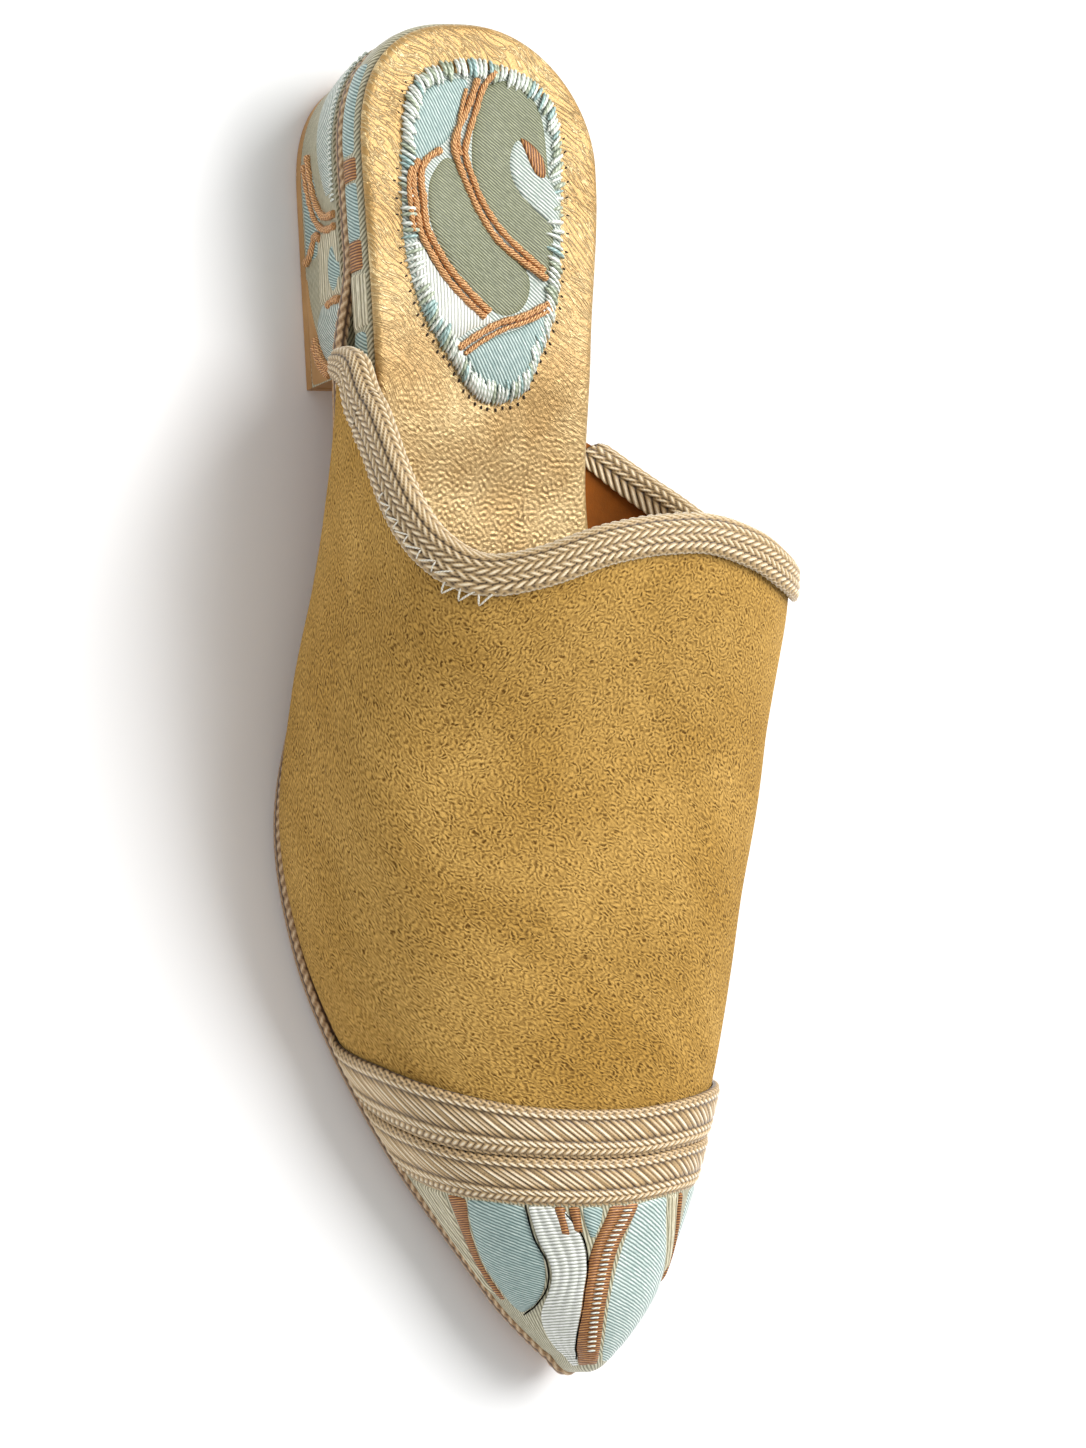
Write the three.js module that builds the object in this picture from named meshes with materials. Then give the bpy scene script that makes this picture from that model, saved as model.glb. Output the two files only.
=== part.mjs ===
// Babouche slipper: a backless right shoe on a low covered heel, 1 unit = 1 mm, +Z up.
// The pieces are laid out on one last: a plan outline, a side profile and a table of upper sections.
// Stations (x) run from the heel seat to the toe tip, y is positive towards the inner (medial) side.
import * as THREE from "three";
import { mergeVertices } from "three/addons/utils/BufferGeometryUtils.js";

// ---------- driving dimensions ----------
const HEEL_END = -1.5; // station of the back of the heel seat
const TOE_END = 250; // station of the tip of the last
const HEEL_ROUND = 26; // station where the round of the heel seat begins
const OUTER_FULLNESS = 2.6; // the round is a circle's arc on the inner side and squarer on the outer
const NOSE_ROUND = 12; // length of the rounded nose of the last
const WALL = 2.0; // suede and lining together
const GAP = 0.3; // clearance between neighbouring pieces
const SOLE_THICKNESS = 4.0; // leather outsole
const INSOLE_THICKNESS = 1.4; // metallic leather sock
const LIFT_THICKNESS = 2.4; // leather top piece under the heel
const BREAST_X = 64; // front face of the heel
const CORD_RADIUS = 1.35; // braided piping
const CORD_IN = 1.55; // how far its centre is tucked in round the heel
const CORD_OUT = 2.1; // and how far it stands out under the upper
const WELT = 0.8; // how much further sole and piping stand out beside the toe
const BINDING_WIDTH = 5.8; // braid folded over the collar, outside leg
const BINDING_INSIDE = 5.2; // inside leg of the same braid
const BRAID_THICKNESS = 1.2;
const CAP_THICKNESS = 1.0; // brocade of the toe cap
const CROWN_SHARE = 0.74; // share of a section's parameter that lies above its widest height

// Half-widths of the platform on each side of the last's centre line.
const PLAN = [
  { x: 0, lateral: 25.5, medial: 25.5 },
  { x: 30, lateral: 25.8, medial: 26.0 },
  { x: 60, lateral: 24.6, medial: 23.6 },
  { x: 85, lateral: 23.2, medial: 24.0 },
  { x: 105, lateral: 24.6, medial: 27.8 },
  { x: 125, lateral: 29.8, medial: 34.5 },
  { x: 148, lateral: 34.7, medial: 39.5 },
  { x: 170, lateral: 32.3, medial: 40.5 },
  { x: 190, lateral: 25.4, medial: 39.0 },
  { x: 210, lateral: 15.4, medial: 35.0 },
  { x: 230, lateral: 2.6, medial: 27.5 },
  { x: 250, lateral: -10.4, medial: 16.0 },
];

// Height of the platform's underside above the floor, and the platform's own thickness.
const PROFILE = [
  { x: 0, under: 24.7, thick: 6.3 },
  { x: 30, under: 24.2, thick: 6.3 },
  { x: 62, under: 21.2, thick: 6.5 },
  { x: 90, under: 13.4, thick: 6.4 },
  { x: 115, under: 7.3, thick: 6.1 },
  { x: 140, under: 4.3, thick: 6.0 },
  { x: 180, under: 4.3, thick: 5.5 },
  { x: 205, under: 5.2, thick: 5.5 },
  { x: 230, under: 7.0, thick: 5.0 },
  { x: 250, under: 9.0, thick: 4.5 },
];

// Upper's outside: ridge height and height of the widest line above the platform's underside,
// how far each side bulges past its base line, squareness of the crown, and the ridge's own y.
const UPPER = [
  { x: 60, ridge: 66, wide: 23, lateral: 4.6, medial: 16.0, square: 2.5, ridgeY: 8 },
  { x: 80, ridge: 66, wide: 24, lateral: 8.0, medial: 18.2, square: 2.5, ridgeY: 8 },
  { x: 100, ridge: 66, wide: 25, lateral: 10.0, medial: 20.0, square: 2.5, ridgeY: 8 },
  { x: 115, ridge: 64, wide: 24, lateral: 9.4, medial: 16.8, square: 2.6, ridgeY: 9 },
  { x: 140, ridge: 54, wide: 20, lateral: 5.4, medial: 8.4, square: 2.6, ridgeY: 10 },
  { x: 170, ridge: 44, wide: 14, lateral: 3.6, medial: 3.2, square: 2.5, ridgeY: 11 },
  { x: 200, ridge: 33, wide: 11, lateral: 1.8, medial: 1.4, square: 2.3, ridgeY: 13 },
  { x: 225, ridge: 24, wide: 8, lateral: 1.4, medial: 1.2, square: 2.1, ridgeY: 13 },
  { x: 250, ridge: 15, wide: 6, lateral: 1.5, medial: 1.5, square: 2.0, ridgeY: 11 },
];

// Collar edge: side is -1 at the lateral base line, 0 on the ridge, 1 at the medial base line.
const COLLAR = [
  { side: -1, x: 62 },
  { side: -0.9, x: 62.4 },
  { side: -0.81, x: 65 },
  { side: -0.76, x: 71.5 },
  { side: -0.67, x: 82.5 },
  { side: -0.56, x: 94.5 },
  { side: -0.46, x: 102.4 },
  { side: -0.34, x: 107.6 },
  { side: -0.22, x: 107.2 },
  { side: -0.08, x: 103.4 },
  { side: 0.05, x: 101.6 },
  { side: 0.2, x: 104 },
  { side: 0.34, x: 107 },
  { side: 0.48, x: 107.6 },
  { side: 0.62, x: 104.6 },
  { side: 0.76, x: 98 },
  { side: 0.86, x: 87.4 },
  { side: 0.95, x: 79 },
  { side: 1, x: 76 },
];

// Edges of the two flat braids that cross the toe.
const BANDS = [
  { side: -1, rear: 187, middle: 199, front: 212 },
  { side: -0.75, rear: 193, middle: 205.7, front: 217.2 },
  { side: -0.5, rear: 199, middle: 210.7, front: 220.2 },
  { side: -0.25, rear: 203.6, middle: 213.2, front: 222.2 },
  { side: 0, rear: 205.3, middle: 214.3, front: 222.9 },
  { side: 0.25, rear: 203.8, middle: 213, front: 221.6 },
  { side: 0.5, rear: 201.6, middle: 211.2, front: 220.2 },
  { side: 1, rear: 197, middle: 206.5, front: 216 },
];

// Outline of the heel at the floor.
const HEEL_FOOT = { back: 2.0, lateralBack: 22.8, lateralFront: 24.0, medialBack: 22.2, medialFront: 22.6 };
const FOOT_ROUND = 0.4; // share of the heel's length taken by the round of its back

// ---------- curves through the tables ----------

/** Slope at a row from its two neighbours: their chord. */
const chord = (before, after, spanBefore, spanAfter) =>
  (before * spanBefore + after * spanAfter) / (spanBefore + spanAfter);

/** Slope at a row that never overshoots: zero where the column turns or runs flat. */
const steady = (before, after) => (before * after <= 0 ? 0 : (2 * before * after) / (before + after));

/** Value of one column at a place, on a cubic through the rows with the given rule for slopes. */
function along(rows, key, column, at, rule = chord) {
  const last = rows.length - 1;
  const span = (i) => rows[i + 1][key] - rows[i][key];
  const secant = (i) => (rows[i + 1][column] - rows[i][column]) / span(i);
  const slope = (i) => {
    if (i === 0) return secant(0);
    if (i === last) return secant(last - 1);
    return rule(secant(i - 1), secant(i), span(i - 1), span(i));
  };
  const place = THREE.MathUtils.clamp(at, rows[0][key], rows[last][key]);
  let i = 0;
  while (i < last - 1 && place > rows[i + 1][key]) i += 1;
  const t = (place - rows[i][key]) / span(i);
  const t2 = t * t;
  const t3 = t2 * t;
  return (
    (2 * t3 - 3 * t2 + 1) * rows[i][column] +
    (t3 - 2 * t2 + t) * span(i) * slope(i) +
    (3 * t2 - 2 * t3) * rows[i + 1][column] +
    (t3 - t2) * span(i) * slope(i + 1)
  );
}

const underside = (x) => along(PROFILE, "x", "under", x, steady);
const platformTop = (x) => underside(x) + along(PROFILE, "x", "thick", x, steady);

/** Share of the width left, from 1 down to 0 at an end: an ellipse, or squarer with a higher power. */
function roundOff(distance, reach, power = 2) {
  const share = THREE.MathUtils.clamp(distance / reach, 0, 1);
  return (1 - share ** power) ** (1 / power);
}

/** Distance of one edge from the centre line, grown square to the edge itself. */
function halfWidth(x, edge, grow) {
  const slope = (along(PLAN, "x", edge, x + 1) - along(PLAN, "x", edge, x - 1)) / 2;
  return along(PLAN, "x", edge, x) + grow * Math.hypot(1, slope);
}

/** How square the round of the heel is, and the share of the width left by it and by the nose. */
const fullness = (edge) => (edge === "lateral" ? OUTER_FULLNESS : 2);
const heelRound = (x, edge, grow) => roundOff(HEEL_ROUND - x, HEEL_ROUND - HEEL_END + grow, fullness(edge));
const noseRound = (x, grow) => roundOff(x - (TOE_END - NOSE_ROUND), NOSE_ROUND + grow);

/** The two edges of the plan at a station, with the whole outline grown outwards. */
function outline(x, grow) {
  const lateral = -halfWidth(x, "lateral", grow);
  const medial = halfWidth(x, "medial", grow);
  const centre = (lateral + medial) / 2;
  const half = ((medial - lateral) / 2) * noseRound(x, grow);
  return {
    lateral: centre - half * heelRound(x, "lateral", grow),
    medial: centre + half * heelRound(x, "medial", grow),
  };
}

/** A point of the upper's outside at a station and side, with the surface grown outwards. */
function upperPoint(x, side, grow) {
  const row = (column) => along(UPPER, "x", column, x);
  const nose = noseRound(x, grow + WALL + GAP);
  const { lateral, medial } = outline(x, grow + WALL + GAP);
  const centre = (lateral + medial) / 2;
  const base = side < 0 ? lateral : medial;
  const widest = base + (side < 0 ? -row("lateral") : row("medial")) * nose;
  const ridgeY = centre + (row("ridgeY") - centre) * nose;
  const wide = row("wide");
  const share = Math.abs(side);
  let y;
  let z;
  if (share <= CROWN_SHARE) {
    // crown: a rounded square from the ridge down to the widest line
    const angle = (share / CROWN_SHARE) * (Math.PI / 2);
    const power = 2 / row("square");
    y = ridgeY + (widest - ridgeY) * Math.sin(angle) ** power;
    z = wide + (row("ridge") + grow - wide) * nose * Math.max(Math.cos(angle), 0) ** power;
  } else {
    // lower wall: a quarter of an ellipse that tucks in to the base line
    const angle = ((share - CROWN_SHARE) / (1 - CROWN_SHARE)) * (Math.PI / 2);
    y = widest + (base - widest) * (1 - Math.cos(angle));
    z = wide * (1 - Math.sin(angle));
  }
  return new THREE.Vector3(x, y, z + underside(x));
}

const tipOf = (grow) => TOE_END + WALL + GAP + grow;

// ---------- meshes ----------

/** Closed mesh from rings of equal count. An end is closed by pairing the ring's points inwards. */
function loft(rings, { closeStart = true, closeEnd = true } = {}) {
  const count = rings[0].length;
  const corners = rings.flat().flatMap((p) => [p.x, p.y, p.z]);
  const faces = [];
  const quad = (a, b, c, d) => faces.push(a, b, c, a, c, d);
  for (let i = 0; i < rings.length - 1; i++) {
    for (let k = 0; k < count; k++) {
      const next = (k + 1) % count;
      quad(i * count + k, i * count + next, (i + 1) * count + next, (i + 1) * count + k);
    }
  }
  const far = (rings.length - 1) * count;
  for (let k = 0; k < count / 2 - 1; k++) {
    if (closeStart) quad(k, count - 1 - k, count - 2 - k, k + 1);
    if (closeEnd) quad(far + k, far + k + 1, far + count - 2 - k, far + count - 1 - k);
  }
  const loose = new THREE.BufferGeometry();
  loose.setAttribute("position", new THREE.Float32BufferAttribute(corners, 3));
  loose.setIndex(faces);
  return facingOut(mergeVertices(loose, 1e-3));
}

/** Drops faces that closed up to a line, and turns the mesh right side out. */
function facingOut(geometry) {
  const index = geometry.index.array;
  const p = geometry.attributes.position;
  const corner = [new THREE.Vector3(), new THREE.Vector3(), new THREE.Vector3()];
  const kept = [];
  let volume = 0;
  for (let i = 0; i < index.length; i += 3) {
    const [a, b, c] = [index[i], index[i + 1], index[i + 2]];
    if (a === b || b === c || a === c) continue;
    corner[0].fromBufferAttribute(p, a);
    corner[1].fromBufferAttribute(p, b);
    corner[2].fromBufferAttribute(p, c);
    volume += corner[0].dot(corner[1].cross(corner[2]));
    kept.push(a, b, c);
  }
  if (volume < 0) kept.reverse();
  geometry.setIndex(kept);
  geometry.computeVertexNormals();
  return geometry;
}

/** Shares of a length from 0 to 1, closer together towards both ends. */
const crowded = (count) =>
  Array.from({ length: count + 1 }, (_, i) => (1 - Math.cos((Math.PI * i) / count)) / 2);

/** Values of side from -1 to 1, evenly spaced. */
const sides = (count) => Array.from({ length: count + 1 }, (_, i) => -1 + (2 * i) / count);

/** Where an outline grown by an amount begins behind the heel and ends past the toe. */
const heelOf = (grow) => HEEL_END - grow;
const noseOf = (grow) => TOE_END + grow;

/** Extra growth of sole and piping: beside the outer forefoot, and round the nose on the inner side. */
const welt = (x, edge) => {
  const [from, to] = edge === "lateral" ? [130, 195] : [225, 248];
  return WELT * THREE.MathUtils.smoothstep(x, from, to);
};

/** A flat-lying piece: levels from its underside up, each with its growth and its height over x. */
function slab(levels, count, { startOf = heelOf, extra = () => 0 } = {}) {
  const rings = crowded(count).map((share) => {
    const side = (edge) =>
      levels.map(({ grow, height }) => {
        const x = THREE.MathUtils.lerp(startOf(grow), noseOf(grow + extra(TOE_END, edge)), share);
        return new THREE.Vector3(x, outline(x, grow + extra(x, edge))[edge], height(x));
      });
    return [...side("lateral"), ...side("medial").reverse()];
  });
  return loft(rings);
}

/** A skin that follows the upper between two growths, from a start line forward round the toe. */
function skin(startOf, outer, inner, sideCount, rowCount) {
  const rings = [];
  for (let row = 0; row <= rowCount; row++) {
    const share = 1 - (1 - row / rowCount) ** 1.8; // rows crowd towards the tip
    const at = (side, grow) => {
      const start = startOf(side);
      return upperPoint(start + (tipOf(grow) - start) * share, side, grow);
    };
    const outside = sides(sideCount).map((side) => at(side, outer));
    const inside = sides(sideCount).map((side) => at(side, inner));
    rings.push([...outside, ...inside.reverse()]);
  }
  return loft(rings, { closeEnd: false });
}

/** A flat braid across the upper between two lines. */
function band(rearOf, frontOf, inner, outer, sideCount) {
  const edge = 0.7; // width over which the braid's edges roll down
  const rings = sides(sideCount).map((side) => {
    const rear = rearOf(side);
    const front = frontOf(side);
    return [
      upperPoint(rear, side, inner),
      upperPoint(rear, side, (inner + outer) / 2),
      upperPoint(rear + edge, side, outer),
      upperPoint(front - edge, side, outer),
      upperPoint(front, side, (inner + outer) / 2),
      upperPoint(front, side, inner),
    ];
  });
  return loft(rings);
}

const collarX = (side) => along(COLLAR, "side", "x", side);
const bandX = (column) => (side) => along(BANDS, "side", column, side);

/** Steps in side and x that go one millimetre across the collar line, measured on the upper. */
function acrossCollar(side) {
  const step = 1e-3;
  const x = collarX(side);
  const here = upperPoint(x, side, 0);
  const inward = side > 0 ? -step : step;
  const bySide = upperPoint(x, side + inward, 0).sub(here).divideScalar(inward);
  const byX = upperPoint(x + step, side, 0).sub(here).divideScalar(step);
  const lean = (collarX(side + inward) - x) / inward;
  const e = bySide.lengthSq();
  const f = bySide.dot(byX);
  const g = byX.lengthSq();
  const a = -(f + lean * g);
  const b = e + lean * f;
  const length = Math.sqrt(a * a * e + 2 * a * b * f + b * b * g);
  return { side: a / length, x: b / length };
}

/** Braid folded over the collar edge: a channel with one leg outside the upper and one inside. */
function collarBinding(stationCount) {
  const near = GAP * 1.6; // the braid spans between stitches, so it stands a little off the curve
  const out = near + BRAID_THICKNESS;
  const within = -WALL - near - BRAID_THICKNESS;
  const channel = [
    { across: BINDING_WIDTH, grow: near },
    { across: BINDING_WIDTH, grow: out - 0.4 },
    { across: BINDING_WIDTH * 0.75, grow: out },
    { across: 1, grow: out },
    { across: -0.9, grow: out - 0.6 },
    { across: -near - BRAID_THICKNESS, grow: -WALL / 2 },
    { across: -0.9, grow: within + 0.6 },
    { across: 1, grow: within },
    { across: BINDING_INSIDE * 0.75, grow: within },
    { across: BINDING_INSIDE, grow: within + 0.4 },
    { across: BINDING_INSIDE, grow: -WALL - near },
    { across: -near, grow: -WALL - near },
    { across: -near, grow: near },
  ];
  const nearest = 0.965; // the braid stops just above the base line, where it meets the piping
  const rings = sides(stationCount).map((side) => {
    const at = side * nearest;
    const step = acrossCollar(at);
    // towards the base lines the braid narrows to a point's width
    const room = (1 - Math.abs(at)) / 0.24;
    const width = THREE.MathUtils.clamp(0.4 + 0.6 * room, 0.4, 1);
    return channel.map(({ across, grow }) => {
      const reach = across > 0 ? across * width : across;
      const place = THREE.MathUtils.clamp(at + step.side * reach, -nearest, nearest);
      return upperPoint(collarX(at) + step.x * reach, place, grow);
    });
  });
  return loft(pairedRings(rings));
}

/** Gives each ring an even count by doubling its last point, so that its ends can be paired. */
const pairedRings = (rings) =>
  rings.map((ring) => (ring.length % 2 ? [...ring, ring[ring.length - 1].clone()] : ring));

/** Offset of the piping's centre from the platform's outline: tucked in at the heel, out under the upper. */
function cordOffset(x, edge) {
  const step = THREE.MathUtils.smoothstep(x, 42, BREAST_X);
  return THREE.MathUtils.lerp(-CORD_IN, CORD_OUT, step) + welt(x, edge);
}

/** Piping: one closed run of braided cord under the edge of platform and upper. */
function piping(perSide) {
  const drop = GAP + CORD_RADIUS;
  const heel = heelOf(cordOffset(HEEL_END, "lateral"));
  const toe = noseOf(cordOffset(TOE_END, "lateral"));
  const places = crowded(perSide).map((share) => THREE.MathUtils.lerp(heel, toe, share));
  const point = (x, edge) => new THREE.Vector3(x, outline(x, cordOffset(x, edge))[edge], underside(x) - drop);
  const lateral = places.map((x) => point(x, "lateral"));
  const medial = places.slice(1, -1).map((x) => point(x, "medial"));
  const route = new THREE.CatmullRomCurve3([...lateral, ...medial.reverse()], true, "centripetal");
  const tube = new THREE.TubeGeometry(route, 120, CORD_RADIUS, 8, true);
  tube.deleteAttribute("uv");
  tube.deleteAttribute("normal");
  return facingOut(mergeVertices(tube, 1e-3));
}

/** Edge of the heel at a height: the floor outline blended up to the platform's outline. */
function heelPoint(share, edge, rise, inset) {
  const topX = THREE.MathUtils.lerp(HEEL_END + inset, BREAST_X, share);
  const footX = THREE.MathUtils.lerp(HEEL_FOOT.back, BREAST_X, share);
  const top = outline(topX, -inset)[edge];
  const turn = roundOff(1 - share / FOOT_ROUND, 1, fullness(edge));
  const half = THREE.MathUtils.lerp(HEEL_FOOT[edge + "Back"], HEEL_FOOT[edge + "Front"], share);
  const foot = (edge === "lateral" ? -half : half) * turn;
  const swell = rise ** 1.3; // the sides are slightly hollow above the floor
  return {
    x: THREE.MathUtils.lerp(footX, topX, rise),
    y: THREE.MathUtils.lerp(foot, top, swell),
  };
}

/** A horizontal slice of the heel between two sets of levels. */
function heelPiece(levels) {
  const shares = Array.from({ length: 19 }, (_, i) => 1 - Math.cos((Math.PI / 2) * (i / 18)));
  const rings = shares.map((share) => {
    const side = (edge) =>
      levels.map(({ rise, inset, height }) => {
        const { x, y } = heelPoint(share, edge, rise, inset);
        return new THREE.Vector3(x, y, height(x));
      });
    return [...side("lateral"), ...side("medial").reverse()];
  });
  return loft(rings);
}

// ---------- the shoe ----------

const shoe = new THREE.Group();

/** Adds one named piece with its own finish. */
function add(name, geometry, color, roughness, metalness = 0) {
  const mesh = new THREE.Mesh(geometry, new THREE.MeshStandardMaterial({ color, roughness, metalness }));
  mesh.name = name;
  shoe.add(mesh);
}

// Leather outsole, from the heel's front face to the toe, flat on the floor under the ball.
const soleTop = (x) => underside(x) - GAP;
const soleBottom = (x) => underside(x) - GAP - SOLE_THICKNESS;
const SOLE_INSET = CORD_OUT - CORD_RADIUS - 2 * GAP; // the edge that the piping covers
const SOLE_FLANGE = 0.7; // height of the lower edge, which shows under the piping
const FLANGE_OUT = 2.4; // how far that edge stands out
const outsoleLevels = [
  { grow: SOLE_INSET + FLANGE_OUT, height: soleBottom },
  { grow: SOLE_INSET + FLANGE_OUT, height: (x) => soleBottom(x) + SOLE_FLANGE },
  { grow: SOLE_INSET, height: (x) => soleBottom(x) + SOLE_FLANGE },
  { grow: SOLE_INSET, height: soleTop },
];
add("outsole", slab(outsoleLevels, 26, { startOf: () => BREAST_X + GAP, extra: welt }), "#b98a55", 0.6);

// Platform: the midsole wrapped in brocade, from heel to toe.
add(
  "platform",
  slab(
    [
      { grow: -1.0, height: underside },
      { grow: -0.1, height: (x) => underside(x) + 1.5 },
      { grow: 0, height: (x) => (underside(x) + platformTop(x)) / 2 },
      { grow: -0.2, height: (x) => platformTop(x) - 1 },
      { grow: -1.1, height: platformTop },
    ],
    34,
  ),
  "#a9bcb2",
  0.8,
);

// Insole: gold leather laid on the platform.
add(
  "insole",
  slab(
    [
      { grow: -1.3, height: (x) => platformTop(x) + GAP },
      { grow: -1.3, height: (x) => platformTop(x) + GAP + INSOLE_THICKNESS },
    ],
    34,
  ),
  "#d9b777",
  0.4,
  0.4,
);

// Upper: one hollow wall of suede and lining, open at the collar and underneath.
add("upper", skin(collarX, 0, -WALL, 48, 30), "#b1873f", 0.95);

// Toe cap of brocade, between two larger forms of the upper.
const capStart = (side) => bandX("front")(side) + GAP;
add("toe_cap", skin(capStart, GAP + CAP_THICKNESS, GAP, 28, 12), "#9fb2ac", 0.75);

// Two flat braids side by side across the toe.
const seam = GAP / 2;
add(
  "toe_band_rear",
  band(bandX("rear"), (side) => bandX("middle")(side) - seam, GAP, GAP + BRAID_THICKNESS, 36),
  "#c7a66b",
  0.85,
);
add(
  "toe_band_front",
  band((side) => bandX("middle")(side) + seam, bandX("front"), GAP, GAP + BRAID_THICKNESS, 36),
  "#c7a66b",
  0.85,
);

// Plaited braid folded over the whole collar edge.
add("collar_binding", collarBinding(64), "#cdb48c", 0.85);

// Braided piping all round the sole.
add("sole_piping", piping(44), "#b99a72", 0.85);

// Heel: a brocade-covered block with a rebate for the piping, and a leather top piece under it.
const rebate = CORD_RADIUS * 2 + 2 * GAP;
const rebateInset = CORD_IN + CORD_RADIUS + GAP;
const blockFoot = LIFT_THICKNESS + GAP;
add(
  "heel_block",
  heelPiece([
    { rise: 0.1, inset: 0.4, height: () => blockFoot },
    { rise: 0.4, inset: 0.4, height: (x) => THREE.MathUtils.lerp(blockFoot, underside(x), 0.36) },
    { rise: 0.75, inset: 0.4, height: (x) => THREE.MathUtils.lerp(blockFoot, underside(x), 0.66) },
    { rise: 1, inset: 0.4, height: (x) => underside(x) - rebate - 0.2 },
    { rise: 1, inset: rebateInset, height: (x) => underside(x) - rebate },
    { rise: 1, inset: rebateInset, height: (x) => underside(x) - GAP },
  ]),
  "#a3b5aa",
  0.8,
);
add(
  "heel_lift",
  heelPiece([
    { rise: 0, inset: 0.4, height: () => 0 },
    { rise: 0.08, inset: 0.4, height: () => LIFT_THICKNESS },
  ]),
  "#ad7f49",
  0.6,
);

// The frame's origin is on the floor, under the middle of the whole shoe.
const box = new THREE.Box3().setFromObject(shoe);
const middle = box.getCenter(new THREE.Vector3());
shoe.position.set(-middle.x, -middle.y, -box.min.z);

export default shoe;
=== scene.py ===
"""Babouche slipper, right foot: a backless suede mule on a low covered heel, with brocade and braid.

Shapes are worked out in millimetres on the shoe's own last. Stations run from the heel seat (0) to the
toe (250), y is positive towards the inner side of the foot, and heights are above the floor.
"""
import math
from functools import partial

import bmesh
import bpy
import numpy as np
from mathutils import Matrix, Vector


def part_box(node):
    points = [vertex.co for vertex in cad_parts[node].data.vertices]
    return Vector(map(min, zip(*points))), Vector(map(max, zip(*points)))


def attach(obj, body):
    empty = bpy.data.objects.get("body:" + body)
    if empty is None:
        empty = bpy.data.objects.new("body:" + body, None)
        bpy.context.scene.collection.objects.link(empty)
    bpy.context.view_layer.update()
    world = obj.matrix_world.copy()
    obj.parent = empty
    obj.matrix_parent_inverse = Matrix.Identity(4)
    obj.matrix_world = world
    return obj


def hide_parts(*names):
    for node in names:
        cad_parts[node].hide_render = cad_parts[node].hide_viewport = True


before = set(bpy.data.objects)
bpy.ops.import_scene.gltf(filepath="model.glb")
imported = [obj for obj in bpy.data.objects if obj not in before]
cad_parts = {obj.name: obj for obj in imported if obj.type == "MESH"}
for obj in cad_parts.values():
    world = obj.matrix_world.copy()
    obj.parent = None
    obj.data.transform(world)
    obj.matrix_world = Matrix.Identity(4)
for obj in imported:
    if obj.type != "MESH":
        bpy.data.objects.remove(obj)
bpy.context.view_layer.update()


# ---------------------------------------------------------------- outsole
# Vegetable-tanned leather, about 4 mm thick, cut from the front of the heel to the toe and glued under the
# platform. It lies flat under the ball of the foot and lifts towards the toe. Its edge shows from above.

HEEL_END = -1.5  # back of the heel seat
TOE_END = 250.0
HEEL_ROUND = 26.0  # station where the round of the heel seat begins
FULLNESS = (2.6, 2.0)  # the round is squarer on the outer side, a circle's arc on the inner
NOSE_ROUND = 12.0  # length of the rounded nose
GAP = 0.3  # clearance between neighbouring pieces
BREAST = 64.0  # front face of the heel
HEEL_HALF = 24.0  # half-width of the heel on the floor, at its front on the outer side
SOLE_THICKNESS = 4.0
CORD_RADIUS = 1.35
CORD_OUT = 2.1  # how far the piping's centre stands out from the platform under the upper
WELT = 0.8  # how much further sole and piping stand out beside the toe
FLANGE_OUT = 2.4  # how far the sole's lower edge stands out

# station, half-width on the outer side, half-width on the inner side
PLAN = np.array([
    (0, 25.5, 25.5), (30, 25.8, 26.0), (60, 24.6, 23.6), (85, 23.2, 24.0), (105, 24.6, 27.8),
    (125, 29.8, 34.5), (148, 34.7, 39.5), (170, 32.3, 40.5), (190, 25.4, 39.0), (210, 15.4, 35.0),
    (230, 2.6, 27.5), (250, -10.4, 16.0),
])
# station, height of the platform's underside, thickness of the platform
PROFILE = np.array([
    (0, 24.7, 6.3), (30, 24.2, 6.3), (62, 21.2, 6.5), (90, 13.4, 6.4), (115, 7.3, 6.1),
    (140, 4.3, 6.0), (180, 4.3, 5.5), (205, 5.2, 5.5), (230, 7.0, 5.0), (250, 9.0, 4.5),
])


def along(rows, column, place, steady=False):
    """Cubic through one column of a table. Each row's slope is the chord of its neighbours, or, where steady,
    their harmonic mean, and zero where the column turns, so that it never overshoots."""
    keys, values = rows[:, 0], rows[:, column]
    span = np.diff(keys)
    secant = np.diff(values) / span
    before, after = secant[:-1], secant[1:]
    if steady:
        total = np.where(before + after == 0, 1, before + after)
        inner = np.where(before * after > 0, 2 * before * after / total, 0)
    else:
        inner = (before * span[:-1] + after * span[1:]) / (span[:-1] + span[1:])
    slope = np.concatenate([secant[:1], inner, secant[-1:]])
    x = np.clip(np.asarray(place, float), keys[0], keys[-1])
    i = np.clip(np.searchsorted(keys, x) - 1, 0, len(keys) - 2)
    t = (x - keys[i]) / span[i]
    start = (2 * t**3 - 3 * t**2 + 1) * values[i] + (t**3 - 2 * t**2 + t) * span[i] * slope[i]
    return start + (3 * t**2 - 2 * t**3) * values[i + 1] + (t**3 - t**2) * span[i] * slope[i + 1]


def underside(x):
    return along(PROFILE, 1, x, steady=True)


def platform_top(x):
    return underside(x) + along(PROFILE, 2, x, steady=True)


def round_off(distance, reach, power=2.0):
    """Quarter of an ellipse, or squarer with a higher power: 1 at no distance, 0 at the reach."""
    return (1 - np.clip(distance / reach, 0, 1) ** power) ** (1 / power)


def outline(x, grow):
    """The plan's outer and inner edge at a station, moved out square to each edge by grow,
    and rounded off at both ends."""
    edges = []
    for column in (1, 2):
        slope = (along(PLAN, column, x + 1) - along(PLAN, column, x - 1)) / 2
        edges.append(along(PLAN, column, x) + grow * np.hypot(1, slope))
    centre = (edges[1] - edges[0]) / 2
    half = (edges[0] + edges[1]) / 2 * round_off(x - TOE_END + NOSE_ROUND, NOSE_ROUND + grow)
    heel = [round_off(HEEL_ROUND - x, HEEL_ROUND - HEEL_END + grow, power) for power in FULLNESS]
    return centre - half * heel[0], centre + half * heel[1]


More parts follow.
